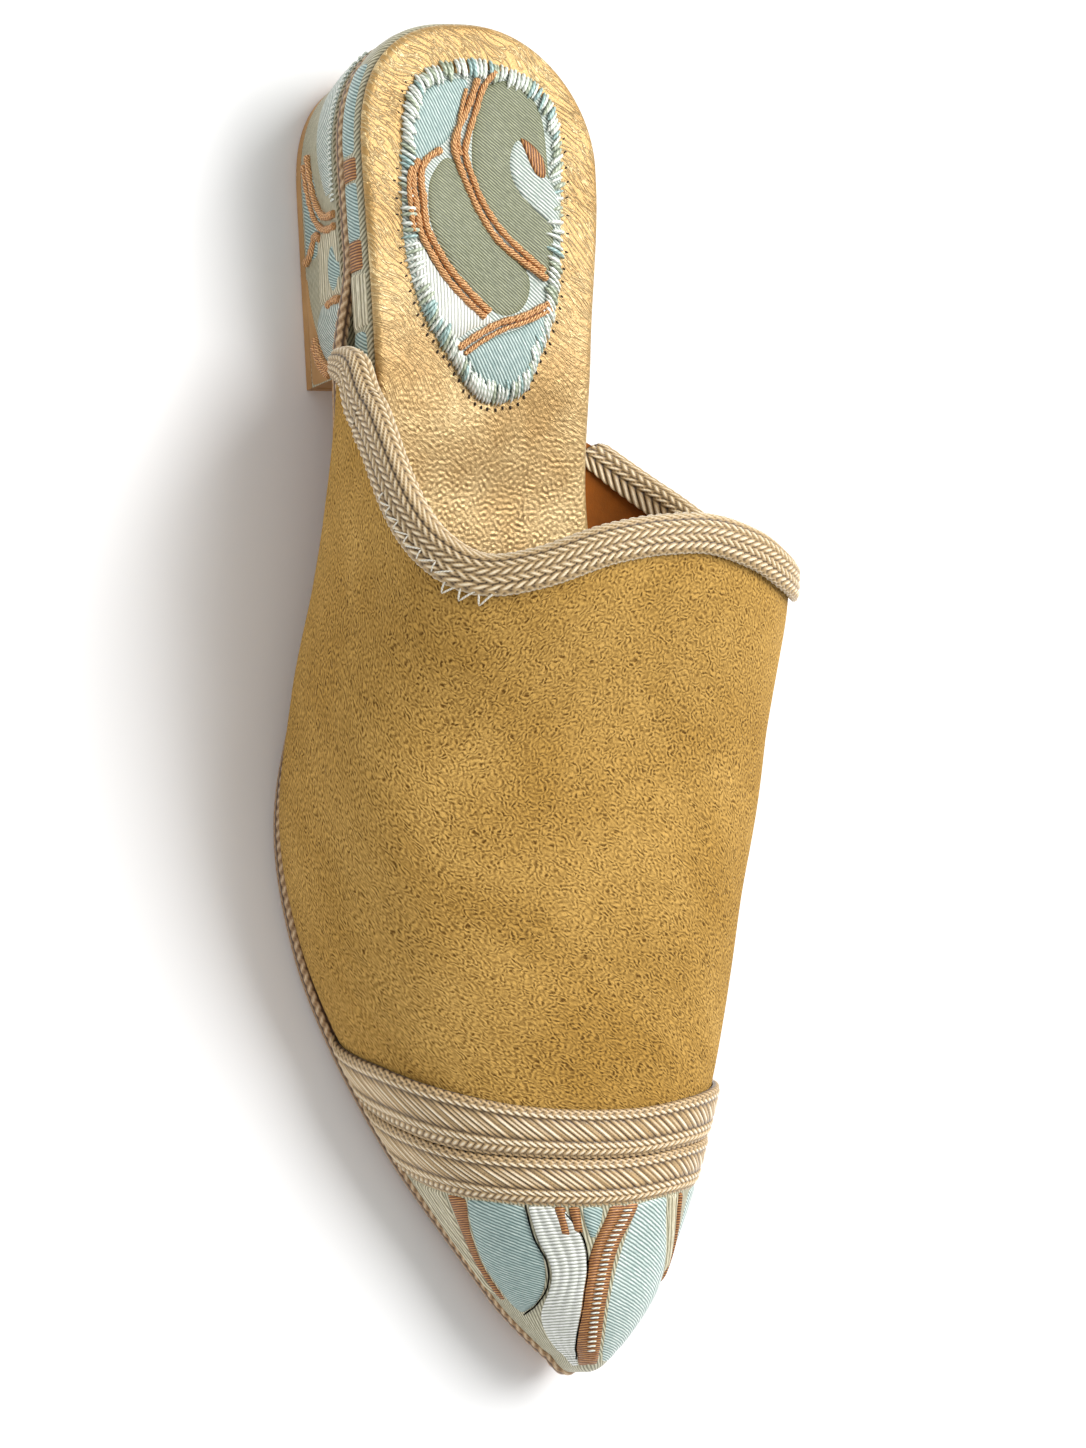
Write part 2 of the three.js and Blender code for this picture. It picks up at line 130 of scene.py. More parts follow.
# The frame's origin is under the middle of the whole shoe, and the last's own is under the heel seat.
# The back of the platform, the side of the heel and the floor give the way from one to the other.
shift = np.array([
    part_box("platform")[0][0] * 1000 - HEEL_END,
    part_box("heel_lift")[0][1] * 1000 + HEEL_HALF,
    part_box("heel_lift")[0][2] * 1000,
])


def travelled(points):
    """Millimetres gone by each point of a line, or of each of several lines, from its first point."""
    steps = np.linalg.norm(np.diff(points, axis=-2), axis=-1)
    return np.concatenate([np.zeros(steps.shape[:-1] + (1,)), np.cumsum(steps, -1)], -1)


def unit(ways):
    """The same directions, each one long."""
    return ways / np.linalg.norm(ways, axis=-1, keepdims=True)


def measured(points):
    """Lengths in millimetres over a sheet: across each of its rows, and down its middle line."""
    down = np.linalg.norm(np.diff(points, axis=-3), axis=-1)
    middle = down[..., down.shape[-1] // 2]
    v = np.concatenate([np.zeros(middle.shape[:-1] + (1,)), np.cumsum(middle, -1)], -1)[..., None]
    u = travelled(points)
    return np.stack([u, np.broadcast_to(v, u.shape)], -1)


def plain(*sheets, kind=0):
    """Sheets with their own lengths as their map, all in one of the piece's finishes."""
    return [(sheet, None, kind) for sheet in sheets]


def lay(name, sheets, finishes, stands_for=(), facing=None, sharp=40):
    """One piece from sheets, each given as its points (.., n, m, 3) in mm, its flat map in mm or None, the
    number of its finish and, for a braid, its relief from 0 to 1. Sheets that meet are joined at their
    edges. Faces point out of a closed piece, or towards facing on an open one."""
    corners, flats, faces, kinds, reliefs, count = [], [], [], [], [], 0
    for points, flat, kind, *relief in sheets:
        total = points.size // 3
        flat = measured(points) if flat is None else np.broadcast_to(flat, points.shape[:-1] + (2,))
        index = np.arange(total).reshape(-1, *points.shape[-3:-1]) + count
        around = [index[:, :-1, :-1], index[:, 1:, :-1], index[:, 1:, 1:], index[:, :-1, 1:]]
        quads = np.stack(around, -1).reshape(-1, 4)
        corners.append(points.reshape(-1, 3))
        flats.append(flat.reshape(-1, 2))
        faces.append(quads)
        kinds.append(np.full(len(quads), kind))
        reliefs.append(relief[0].ravel() if relief else np.zeros(total))
        count += total
    corners = (np.concatenate(corners) + shift) / 1000
    faces, flats = np.concatenate(faces), np.concatenate(flats)
    mesh = bpy.data.meshes.new(name)
    mesh.vertices.add(len(corners))
    mesh.vertices.foreach_set("co", corners.ravel())
    mesh.loops.add(faces.size)
    mesh.loops.foreach_set("vertex_index", faces.ravel())
    mesh.polygons.add(len(faces))
    mesh.polygons.foreach_set("loop_start", np.arange(0, faces.size, 4))
    mesh.update(calc_edges=True)
    mesh.uv_layers.new(name="flat").data.foreach_set("uv", flats[faces.ravel()].ravel())
    mesh.polygons.foreach_set("material_index", np.concatenate(kinds))
    if any(r.any() for r in reliefs):
        mesh.attributes.new("relief", "FLOAT", "POINT").data.foreach_set("value", np.concatenate(reliefs))
    shell = bmesh.new()
    shell.from_mesh(mesh)
    bmesh.ops.remove_doubles(shell, verts=shell.verts, dist=2e-6)
    if facing is None:
        bmesh.ops.recalc_face_normals(shell, faces=shell.faces)
        wrong = shell.calc_volume(signed=True) < 0
    else:
        seen = np.array([(*f.normal, f.calc_area()) for f in shell.faces])
        wrong = seen[:, :3] @ facing @ seen[:, 3] < 0
    if wrong:
        bmesh.ops.reverse_faces(shell, faces=shell.faces)
    shell.to_mesh(mesh)
    shell.free()
    mesh.polygons.foreach_set("use_smooth", np.ones(len(mesh.polygons), bool))
    mesh.set_sharp_from_angle(angle=math.radians(sharp))
    for finish in finishes:
        mesh.materials.append(finish)
    piece = bpy.data.objects.new(name, mesh)
    bpy.context.scene.collection.objects.link(piece)
    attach(piece, "root")
    if stands_for:
        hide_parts(*stands_for)
    return piece


def crowded(count):
    """Shares from 0 to 1, closer together towards both ends."""
    return (1 - np.cos(np.linspace(0, np.pi, count))) / 2


def eased(x, low, high):
    """Rises from 0 to 1 between two places, level at both."""
    t = np.clip((x - low) / (high - low), 0, 1)
    return t * t * (3 - 2 * t)


def fading(share, steep=6):
    """1 in the middle of a share that goes from 0 to 1, and evenly down to 0 at both its ends."""
    return np.clip(steep * np.minimum(share, 1 - share), 0, 1)


def welt(x, inner):
    """Extra growth of sole and piping: beside the whole forefoot on the outer side, and only round the nose
    on the inner."""
    return WELT * (eased(x, 225, 248) if inner else eased(x, 130, 195))


def bridge(left, right, across):
    """A sheet whose rows run straight from one edge to the other."""
    share = np.linspace(0, 1, across)[None, :, None]
    return left[:, None] * (1 - share) + right[:, None] * share


def slab(levels, stations=220, across=24, start=None, extra=lambda x, inner: 0 * x):
    """A flat-lying piece from levels (growth, height over x): its two edges, its underside and its top.
    It is rounded at the heel, or begins square at a start station."""
    share = crowded(stations)
    walls = []
    for inner in (0, 1):
        rows = []
        for grow, height in levels:
            far = TOE_END + grow + extra(TOE_END, inner)
            x = (HEEL_END - grow if start is None else start) * (1 - share) + far * share
            rows.append(np.stack([x, outline(x, grow + extra(x, inner))[inner], height(x)], -1))
        walls.append(np.stack(rows, 1))
    underneath, above = (bridge(walls[0][:, level], walls[1][:, level], across) for level in (0, -1))
    return walls, underneath, above


def colour(code):
    """sRGB hex to the linear colour that a shader reads."""
    parts = [int(code[i : i + 2], 16) / 255 for i in (1, 3, 5)]
    return tuple(c / 12.92 if c <= 0.04045 else ((c + 0.055) / 1.055) ** 2.4 for c in parts) + (1.0,)


def join(tree, node, inputs):
    """Sets each input of a shader node to its value, or links it to another node's socket."""
    for socket, value in inputs.items():
        if isinstance(value, bpy.types.NodeSocket):
            tree.links.new(value, node.inputs[socket])
        else:
            node.inputs[socket].default_value = value


def add(tree, kind, inputs, **settings):
    """Adds a shader node with its settings and its inputs, and returns it."""
    made = tree.nodes.new("ShaderNode" + kind)
    for key, value in settings.items():
        setattr(made, key, value)
    join(tree, made, inputs)
    return made


def noise(tree, place, scale, detail, roughness=0.5, part="Fac"):
    """Cloudy noise whose lumps are about one over scale across."""
    inputs = {"Vector": place, "Scale": scale, "Detail": detail, "Roughness": roughness}
    return add(tree, "TexNoise", inputs).outputs[part]


def ramp(tree, value, low, high, start=0.0, end=1.0):
    """Goes evenly from start to end while the value goes from low to high, and stays level beyond."""
    return add(tree, "MapRange", {0: value, 1: low, 2: high, 3: start, 4: end}).outputs[0]


def blend(tree, share, first, second, way="MIX"):
    """Blends two colours, each a socket or an sRGB hex."""
    first, second = (colour(c) if isinstance(c, str) else c for c in (first, second))
    return add(tree, "Mix", {0: share, 6: first, 7: second}, data_type="RGBA", blend_type=way).outputs[2]


def dress(tree, shader, base, rough, height, strength, depth):
    """Gives the shader its colour, its roughness and a bump whose full height is a depth in mm."""
    bump = add(tree, "Bump", {"Height": height, "Strength": strength, "Distance": depth / 1000}).outputs[0]
    join(tree, shader, {"Base Color": base, "Roughness": rough, "Normal": bump})


def new_finish(name, shader_inputs):
    """An empty material with one principled shader whose own sockets hold the constants."""
    material = bpy.data.materials.new(name)
    material.use_nodes = True
    tree = material.node_tree
    tree.nodes.clear()
    shader = add(tree, "BsdfPrincipled", shader_inputs)
    add(tree, "OutputMaterial", {"Surface": shader.outputs[0]})
    return material, tree, shader


def leather(name, light, dark, roughness, pore=0.35, depth=0.05, wax=0.08):
    """Vegetable-tanned leather, cut and lightly waxed: a soft mottled tan with fine pores and a dull shine.
    Mottling is about 12 mm across, pores a third of a millimetre. Wax is the share of the shine on top."""
    material, tree, shader = new_finish(name, {
        "Coat Weight": wax, "Coat Roughness": 0.4, "Specular IOR Level": 0.2 + 3 * wax,
    })
    place = add(tree, "TexCoord", {}).outputs["Object"]
    mottle = noise(tree, place, 80, 5, 0.6)
    pores = add(tree, "TexVoronoi", {"Vector": place, "Scale": 1000 / pore}, feature="F1").outputs["Distance"]
    tone = blend(tree, ramp(tree, mottle, 0.3, 0.7), dark, light)
    rough = ramp(tree, mottle, 0.2, 0.8, roughness - 0.08, roughness + 0.1)
    dress(tree, shader, tone, rough, pores, 0.35, depth)
    return material


tan_leather = leather("vegetable_tanned_leather", "#C79A63", "#A87A45", 0.55)

SOLE_INSET = CORD_OUT - CORD_RADIUS - 2 * GAP
FLANGE = SOLE_INSET + FLANGE_OUT  # the sole's widest growth


def sole_bottom(x):
    return underside(x) - GAP - SOLE_THICKNESS


sole_levels = [
    (FLANGE - 0.4, sole_bottom),
    (FLANGE - 0.05, lambda x: sole_bottom(x) + 0.2),
    (FLANGE, lambda x: sole_bottom(x) + 0.45),
    (FLANGE - 0.3, lambda x: sole_bottom(x) + 0.68),
    (SOLE_INSET, lambda x: sole_bottom(x) + 0.75),
    (SOLE_INSET, lambda x: underside(x) - GAP),
]
walls, bottom, top = slab(sole_levels, start=BREAST + GAP, extra=welt)
back = bridge(walls[0][0], walls[1][0], top.shape[1])
lay("outsole_leather", plain(*walls, bottom, top, back), [tan_leather], ["outsole"])

# stitches near the edge of the sole's underside: pale waxed thread, one every 4 mm
STITCH_PITCH = 4.0
STITCH_LENGTH = 2.8
STITCH_IN = 4.0  # how far in from the platform's edge


def capsules(start, end, lift, radius, steps=7, sides=6):
    """Short stitches: from each start to its end along a low arch that lifts in the middle, each thin at
    both ends."""
    t = np.linspace(0, 1, steps)[None, :, None]
    line = start[:, None] * (1 - t) + end[:, None] * t + lift[:, None] * (4 * t * (1 - t))
    run = unit(np.gradient(line, axis=1))
    aside = unit(np.cross(run, unit(lift)[:, None]))
    up = np.cross(aside, run)
    turn = np.linspace(0, 2 * np.pi, sides + 1)[None, None, :, None]
    thin = np.sqrt(np.clip(1 - (2 * t - 1) ** 4, 0, 1))[..., None] * radius
    return line[:, :, None] + thin * (aside[:, :, None] * np.cos(turn) + up[:, :, None] * np.sin(turn))


def thread(name, base, shade, roughness=0.6, metallic=0.0, twist=0.5):
    """Stitching thread: fine twisted strands, with a broken painted highlight along each stitch and painted
    shade between the strands. Twist is about how far apart the strands are, in millimetres."""
    material, tree, shader = new_finish(name, {
        "Metallic": metallic, "Sheen Weight": 0.2, "Sheen Roughness": 0.4,
    })
    flat = add(tree, "TexCoord", {}).outputs["UV"]
    leaned = {"Vector": flat, "Rotation": (0, 0, 0.7), "Scale": (1 / twist, 1 / twist, 1)}
    turn = add(tree, "Mapping", leaned).outputs[0]
    wave = {"Vector": turn, "Scale": 0.35, "Distortion": 1.0, "Detail": 1}
    strands = add(tree, "TexWave", wave).outputs["Fac"]
    # the strands' colour wave is painted highlight on each strand and painted shade between them
    dress(tree, shader, blend(tree, strands, shade, base), roughness, strands, 0.5, 0.1)
    return material


# first colour painted highlight on the strands, second painted shade between them
white_thread = thread("waxed_white_thread", "#F4F0E4", "#CFC7B0")

x = np.arange(70.0, 246.0, STITCH_PITCH)
for side, edge in enumerate(("outer", "inner")):
    ends = []
    for at in (x, x + STITCH_LENGTH):
        ends.append(np.stack([at, outline(at, -STITCH_IN)[side], sole_bottom(at) + 0.3], -1))
    arch = np.tile([0.0, 0.0, -0.12], (len(x), 1))
    lay("sole_stitches_" + edge, plain(capsules(*ends, arch, 0.2)), [white_thread])


# ---------------------------------------------------------------- heel
# A low block of stacked board, 24 mm high, covered in brocade cut across its figure, with a leather top
# piece under it. Satin fields, couched copper cords and ribbed cream bars are worked over the brocade.

CORD_IN = 1.55  # how far the piping is tucked in round the heel
LIFT = 2.4
REBATE = CORD_RADIUS * 2 + 2 * GAP
REBATE_INSET = CORD_IN + CORD_RADIUS + GAP
# half-widths of the heel at the floor, at its back and its front
FOOT = {"outer": (22.8, HEEL_HALF), "inner": (22.2, 22.6)}
FOOT_BACK = 2.0
FOOT_ROUND = 0.4  # share of the heel's length taken by the round of its back


def heel_wall(share, rise, edge, out):
    """The heel's side: the floor outline blended up to the platform's outline, slightly hollow above the
    floor. Share runs from the back (0) to the front face (1), rise from the floor (0) to the platform (1)."""
    inset = 0.4 - out
    top_x = (HEEL_END + inset) * (1 - share) + BREAST * share
    foot_x = (FOOT_BACK - out) * (1 - share) + BREAST * share
    top_y = outline(top_x, -inset)[edge == "inner"]
    back, front = FOOT[edge]
    turn = round_off(1 - share / FOOT_ROUND, 1, FULLNESS[edge == "inner"])
    half = (back * (1 - share) + front * share + out) * turn
    foot_y = half if edge == "inner" else -half
    swell = rise**1.3
    return foot_x * (1 - rise) + top_x * rise, foot_y * (1 - swell) + top_y * swell


def heel_face(edge, share, level, out):
    """A point of the covered wall, level 0 at its foot and 1 at its top edge under the piping."""
    x, y = heel_wall(share, 0.1 + 0.9 * level, edge, out)
    foot = LIFT + GAP
    return np.stack(np.broadcast_arrays(x, y, foot + (underside(x) - REBATE - 0.2 - foot) * level), -1)


def brocade(name, base, shade, painted_glint, angle, pitch=0.55, metallic=0.0, roughness=0.5):
    """Silk brocade or satin stitch: parallel threads with a painted highlight in a band across their run and
    painted shade between them. Angle turns the threads on the piece's flat map, and pitch is their spacing in
    mm, drawn coarse enough to show."""
    material, tree, shader = new_finish(name, {
        "Metallic": metallic, "Sheen Weight": 0.08, "Sheen Roughness": 0.35, "Specular IOR Level": 0.6,
        "Anisotropic": 0.3,
    })
    flat = add(tree, "TexCoord", {}).outputs["UV"]
    turned = add(tree, "Mapping", {"Vector": flat, "Rotation": (0, 0, math.radians(angle))}).outputs[0]
    # one wave of the texture is 2 pi / 20 of its own unit, so this scale gives the pitch in millimetres
    wave = {"Vector": turned, "Scale": 0.314 / pitch, "Distortion": 1.2, "Detail": 2, "Detail Scale": 1.5}
    threads = add(tree, "TexWave", wave, wave_profile="SIN").outputs["Fac"]
    stretched = add(tree, "Mapping", {"Vector": turned, "Scale": (1.6 / pitch, 0.5, 1)}).outputs[0]
    broken = noise(tree, stretched, 1.0, 3, 0.6)
    ground = blend(tree, noise(tree, flat, 0.16, 3), shade, base)
    # painted highlight: the glint colour where a thread's crest and the broken noise meet
    painted_glint_share = add(tree, "Math", {0: threads, 1: broken}, operation="MULTIPLY").outputs[0]
    painted_lit = blend(tree, ramp(tree, painted_glint_share, 0.18, 0.62), ground, painted_glint)
    # painted shade: each thread's colour darkens into the hollow beside it
    tone = blend(tree, 1.0, painted_lit, ramp(tree, threads, 0.0, 0.45, 0.42, 1.0), "MULTIPLY")
    rough = ramp(tree, broken, 0.2, 0.8, roughness + 0.12, roughness - 0.12)
    height = add(tree, "Math", {0: threads, 1: broken}, operation="ADD").outputs[0]
    dress(tree, shader, tone, rough, height, 0.8, 0.09)
    return material


# each brocade's colours: its own tone, a darker random tone, and its painted glint
sage_twill = brocade("sage_silk_twill", "#797E60", "#62674D", "#ADB08C", 38, pitch=0.5)
cream_sage_twill = brocade("cream_sage_twill", "#B1AC8C", "#938D6C", "#DBD6BC", -35, pitch=0.6)
silver_twill = brocade("silver_sage_twill", "#A9B9AE", "#879A90", "#F1F4EA", 40, pitch=0.6, roughness=0.42)
pale_teal = brocade("pale_teal_satin", "#8FADA8", "#6F8E8A", "#D4E4DC", 62, pitch=0.6, roughness=0.42)
light_teal = brocade("light_teal_satin", "#AEC4BD", "#90ABA5", "#F0F7F0", 62, pitch=0.6, roughness=0.4)
silver_rib = brocade("silver_ribbed_stitch", "#E6E8DC", "#B9BFAE", "#FFFFFF", 90, pitch=0.7, roughness=0.34)
cream_rib = brocade("cream_ribbed_stitch", "#CFC6A4", "#AA9E7B", "#EFE8CE", 0, pitch=0.8)
copper_satin = brocade(
    "copper_satin_stitch", "#935523", "#6B3B12", "#D39A58", 90, metallic=0.2, roughness=0.42,
)


def panel(surface, rows, thickness=0.35, lanes=1, steps=90, across=26, sink=0.12):
    """A worked field between two borders. Rows give a place and its left and right border on the surface.
    It crowns in one or more lanes between its borders and dips below the ground all round."""
    rows = np.array(rows, float)
    place = np.linspace(rows[0, 0], rows[-1, 0], steps)[:, None]
    share = np.linspace(0, 1, across)[None, :]
    left, right = along(rows, 1, place), along(rows, 2, place)
    run = (place - rows[0, 0]) / (rows[-1, 0] - rows[0, 0])
    ends = fading(run, 14) ** 0.5
    crown = np.clip(np.abs(np.sin(np.pi * share * lanes)), 0, 1) ** 0.45 * ends
    if lanes > 1:
        crown = np.maximum(crown, 0.55 * fading(share) * ends)
    return surface(place, left + (right - left) * share, thickness * crown - sink * (1 - crown))


def work(name, surface, fields, facing, ending="", **mesh):
    """Lays each field (name, rows, thickness, lanes, finish) on a surface as a piece of its own."""
    for motif, rows, thickness, lanes, finish in fields:
        points = panel(surface, rows, thickness, lanes, **mesh)
        lay(name + motif + ending, plain(points), [finish], facing=facing)


def couched(surface, stops, radius, pitch=0.75, offset=0.25, sides=8):
    """A metal cord laid on the surface and sewn down: a thin tube through the stops, pinched at every stitch
    and swelling unevenly between them, as the sum of two slow waves."""
    stops = np.array(stops, float)
    rows = np.column_stack([travelled(stops), stops])
    t = np.linspace(0, rows[-1, 0], 400)
    length = travelled(surface(along(rows, 1, t), along(rows, 2, t), offset))
    count = max(int(length[-1] / pitch * 5), 12)
    t = np.interp(np.linspace(0, length[-1], count), length, t)
    a, b = along(rows, 1, t), along(rows, 2, t)
    line, above = surface(a, b, offset), surface(a, b, offset + 0.5)
    run = unit(np.gradient(line, axis=0))
    aside = unit(np.cross(run, above - line))
    up = np.cross(aside, run)
    mm = np.linspace(0, length[-1], count)
    slow = 0.09 * np.sin(mm * 1.7 + 9 * radius) + 0.07 * np.sin(mm * 4.3 + 5 * radius)
    swell = radius * (0.84 + slow + 0.2 * np.abs(np.sin(np.pi * mm / pitch)) ** 0.6)
    swell[[0, -1]] *= 0.02
    turn = np.linspace(0, 2 * np.pi, sides + 1)[None, :, None]
    return line[:, None] + swell[:, None, None] * (aside[:, None] * np.cos(turn) + up[:, None] * np.sin(turn))


# each cord's first colour is its painted highlight on the strands and its second its painted shade
copper_cord = thread("copper_couching_cord", "#F0BE82", "#8A4B1B", roughness=0.32, metallic=0.35, twist=0.55)
silver_cord = thread("silver_blanket_stitch", "#F4F6EE", "#BFC9BC", roughness=0.38, metallic=0.1, twist=0.8)
sage_cord = thread("sage_blanket_stitch", "#C3CBB4", "#8E9A82", roughness=0.42, metallic=0.1, twist=0.8)

# the piping's rebate round the top of the block: how far in, and how far under the platform
lip_steps = [(0.0, REBATE + 0.2), (0.5, REBATE), (REBATE_INSET - 0.4, REBATE), (REBATE_INSET - 0.4, GAP)]
share = (1 - np.cos(np.linspace(0, np.pi / 2, 90)))[:, None]
levels = np.linspace(0, 1, 24)[None, :]
skins = []
for edge in FOOT:
    lip = []
    for inset, height in lip_steps:
        px, py = heel_wall(share[:, 0], 1.0, edge, -inset)
        lip.append(np.stack([px, py, underside(px) - height], -1))
    skins.append(np.concatenate([heel_face(edge, share, levels, 0.0)[:, :-1], np.stack(lip, 1)], 1))
front = bridge(skins[0][-1], skins[1][-1], 12)
top, foot = (bridge(skins[0][:, k], skins[1][:, k], 12) for k in (-1, 0))
lay(
    "heel_cover", plain(*skins) + plain(front, top, foot, kind=1), [cream_sage_twill, tan_leather],
    ["heel_block"],
)

# share of the heel's length, lower and upper border
heel_fields = [
    ("sage_field", [
        (0.01, 0.38, 0.97), (0.12, 0.36, 0.98), (0.24, 0.42, 0.97), (0.36, 0.52, 0.95), (0.47, 0.70, 0.90),
    ], 0.5, 1, silver_twill),
    ("teal_field", [
        (0.34, 0.02, 0.30), (0.42, 0.02, 0.42), (0.52, 0.03, 0.50), (0.62, 0.02, 0.34),
    ], 0.3, 1, pale_teal),
    ("cream_bars", [
        (0.56, 0.36, 0.95), (0.62, 0.38, 0.97), (0.70, 0.36, 0.97), (0.77, 0.34, 0.95),
    ], 0.35, 3, cream_rib),
    ("teal_oval", [
        (0.62, 0.78, 0.84), (0.66, 0.64, 0.95), (0.71, 0.62, 0.97), (0.755, 0.76, 0.9),
    ], 0.5, 1, pale_teal),
    ("sage_oval", [
        (0.77, 0.40, 0.86), (0.82, 0.24, 0.95), (0.88, 0.26, 0.97), (0.94, 0.46, 0.95), (0.97, 0.66, 0.86),
    ], 0.5, 1, silver_twill),
]
# share of the heel's length and level at each stop, radius in mm
heel_cords = [
    ([(0.30, 0.22), (0.38, 0.30), (0.46, 0.42), (0.52, 0.62), (0.54, 0.95)], 0.75),
    ([(0.32, 0.12), (0.42, 0.22), (0.51, 0.38), (0.56, 0.62), (0.575, 0.95)], 0.7),
    ([(0.62, 0.04), (0.60, 0.22), (0.56, 0.36), (0.58, 0.5)], 0.8),
    ([(0.785, 0.60), (0.78, 0.78), (0.785, 0.96)], 0.8),
    ([(0.86, 0.20), (0.93, 0.36), (0.97, 0.60), (0.985, 0.95)], 0.85),
    ([(0.88, 0.14), (0.95, 0.32), (0.99, 0.55)], 0.8),
]
heel_corner = [
    (0.66, -0.01, 0.03), (0.76, -0.01, 0.10), (0.86, -0.01, 0.26), (0.94, -0.01, 0.46), (1.0, -0.01, 0.62),
]
SIDES = {"outer": (0, -1, 0), "inner": (0, 1, 0)}  # the way that each side of the shoe faces
for side, facing in SIDES.items():
    wall = partial(heel_face, side)
    work("heel_", wall, heel_fields, facing, "_" + side)
    cords = plain(*(couched(wall, stops, radius) for stops, radius in heel_cords))
    lay(f"heel_copper_cords_{side}", cords, [copper_cord])
    corner = plain(panel(wall, heel_corner, 0.25, 1, 60, 20))
    lay(f"heel_leather_corner_{side}", corner, [tan_leather], facing=facing)

    # short white stitches that hold the brocade's raw edge down along the piping
    place = np.linspace(0.06, 0.5, 30)
    first, last = wall(place, 0.86 + 0.03 * np.sin(place * 190), 0.15), wall(place, 0.985, 0.2)
    above = (wall(place, 0.9, 1.0) - wall(place, 0.9, 0.3)) * 0.35
    lay(f"heel_scallops_{side}", plain(capsules(first, last, above, 0.24)), [silver_cord])

# the top piece's edge: how far up the heel's taper, how far in, and its height
lift_levels = [
    (0.0, 0.35, 0.0), (0.0, 0.0, 0.35), (0.04, 0.0, 1.2), (0.08, 0.1, LIFT - 0.2), (0.08, 0.4, LIFT),
]
rims = []
for edge in FOOT:
    rim = []
    for rise, inset, height in lift_levels:
        px, py = heel_wall(share[:, 0], rise, edge, -inset)
        rim.append(np.stack([px, py, height + 0 * px], -1))
    rims.append(np.stack(rim, 1))
caps = [bridge(rims[0][:, k], rims[1][:, k], 12) for k in (0, -1)]
front = bridge(rims[0][-1], rims[1][-1], 12)
lay("heel_top_piece", plain(*rims, *caps, front), [tan_leather], ["heel_lift"])


# ---------------------------------------------------------------- platform
# Cork and leather midsole, 4.5 to 6.5 mm thick, wrapped in the same brocade before the upper and the sole
# are joined to it. Its edge shows round the heel, where each motif of the cloth comes round in turn.

platform_levels = [
    (-1.0, underside),
    (-0.45, lambda x: underside(x) + 0.6),
    (-0.1, lambda x: underside(x) + 1.5),
    (0.0, lambda x: (underside(x) + platform_top(x)) / 2),
    (-0.05, lambda x: platform_top(x) - 1.6),
    (-0.25, lambda x: platform_top(x) - 0.8),
    (-0.6, lambda x: platform_top(x) - 0.2),
    (-1.1, platform_top),
]
walls, bottom, top = slab(platform_levels)
lay("platform_cover", plain(*walls, bottom, top), [cream_sage_twill], ["platform"])


def platform_edge(edge, x, level, out):
    """The platform's wrapped edge, level 0 at its underside and 1 at its top. Towards both it draws in by up
    to a millimetre, as the cube of the distance from the middle."""
    grow = -1.0 * (2 * np.abs(level - 0.5)) ** 3 + out
    y = outline(x, grow)[edge == "inner"]
    return np.stack(np.broadcast_arrays(x, y, underside(x) + (platform_top(x) - underside(x)) * level), -1)


# station, lower and upper border
platform_fields = [
    ("teal_back", [(7, 0.0, 1.0), (25, 0.0, 1.0)], 0.3, 1, pale_teal),
    ("copper_back", [(25.3, 0.0, 1.0), (29.8, 0.0, 1.0)], 0.35, 1, copper_satin),
    ("teal_middle", [(30, 0.0, 1.0), (41, 0.0, 1.0)], 0.3, 1, pale_teal),
    ("copper_front", [(40.8, 0.0, 1.0), (46.6, 0.0, 1.0)], 0.35, 1, copper_satin),
    ("cream_bars", [(46.8, 0.0, 1.0), (57.4, 0.0, 1.0)], 0.3, 5, cream_rib),
    ("teal_leaf", [(57.6, 0.05, 0.95), (64, 0.0, 1.0), (70, 0.02, 0.98), (76, 0.3, 0.7)], 0.35, 1, pale_teal),
]
for side, facing in SIDES.items():
    work("platform_", partial(platform_edge, side), platform_fields, facing, "_" + side, steps=40, across=30)


# ---------------------------------------------------------------- piping
# Braided cotton cord, 2.7 mm thick, sewn in one run under the edge of the platform and the upper.
# It is tucked in round the heel and stands out beside the foot.

def cord_offset(x, inner):
    return -CORD_IN + (CORD_OUT + CORD_IN) * eased(x, 42, BREAST) + welt(x, inner)


def plait(run, place, borders, leans, pitch):
    """Height of a plait from 0 to 1: rows of ovals between borders, each row leaning the way its number
    says. Each oval is a cosine along the run times a half round across its row, and rows that are side by
    side are half a pitch out of step."""
    row = np.clip(np.searchsorted(borders, place, side="right") - 1, 0, len(borders) - 2)
    low, high = np.take(borders, row), np.take(borders, row + 1)
    across = np.clip(2 * (place - low) / (high - low) - 1, -1, 1)
    phase = run / pitch + np.take(leans, row) * across / 2 + 0.5 * (row % 2)
    return np.abs(np.cos(np.pi * phase)) ** 0.75 * np.clip(1 - np.abs(across) ** 3, 0, 1) ** 0.6


def braided(name, light, middle, dark, roughness=0.65, fibre=0.22):
    """Plaited cord or braid of many fine threads, with a painted highlight where a strand stands up and
    painted shade where two dip under each other. The strand's height is kept with the mesh. Fibre is the
    width of its threads in mm."""
    material, tree, shader = new_finish(name, {
        "Sheen Weight": 0.3, "Sheen Roughness": 0.45, "Specular IOR Level": 0.5,
    })
    relief = add(tree, "Attribute", {}, attribute_name="relief").outputs["Fac"]
    flat = add(tree, "TexCoord", {}).outputs["UV"]
    leaning = {"Vector": flat, "Rotation": (0, 0, 0.6), "Scale": (fibre, 4 * fibre, 1)}
    fibres = noise(tree, add(tree, "Mapping", leaning, vector_type="TEXTURE").outputs[0], 1.0, 2)
    # painted shade: the dark colour fills the dips of the plait, by the strand's height
    body = blend(tree, ramp(tree, relief, 0.12, 0.62), dark, middle)
    # painted highlight: the light colour on the strands' tops
    painted_lit = blend(tree, ramp(tree, relief, 0.66, 0.96), body, light)
    tone = blend(tree, 1.0, painted_lit, ramp(tree, fibres, 0.3, 0.7, 0.8, 1.08), "MULTIPLY")
    dress(tree, shader, tone, roughness, fibres, 0.6, 0.08)
    return material


PIPING_PITCH = 2.1
CORD_ROWS = 4  # rows of ovals round the cord

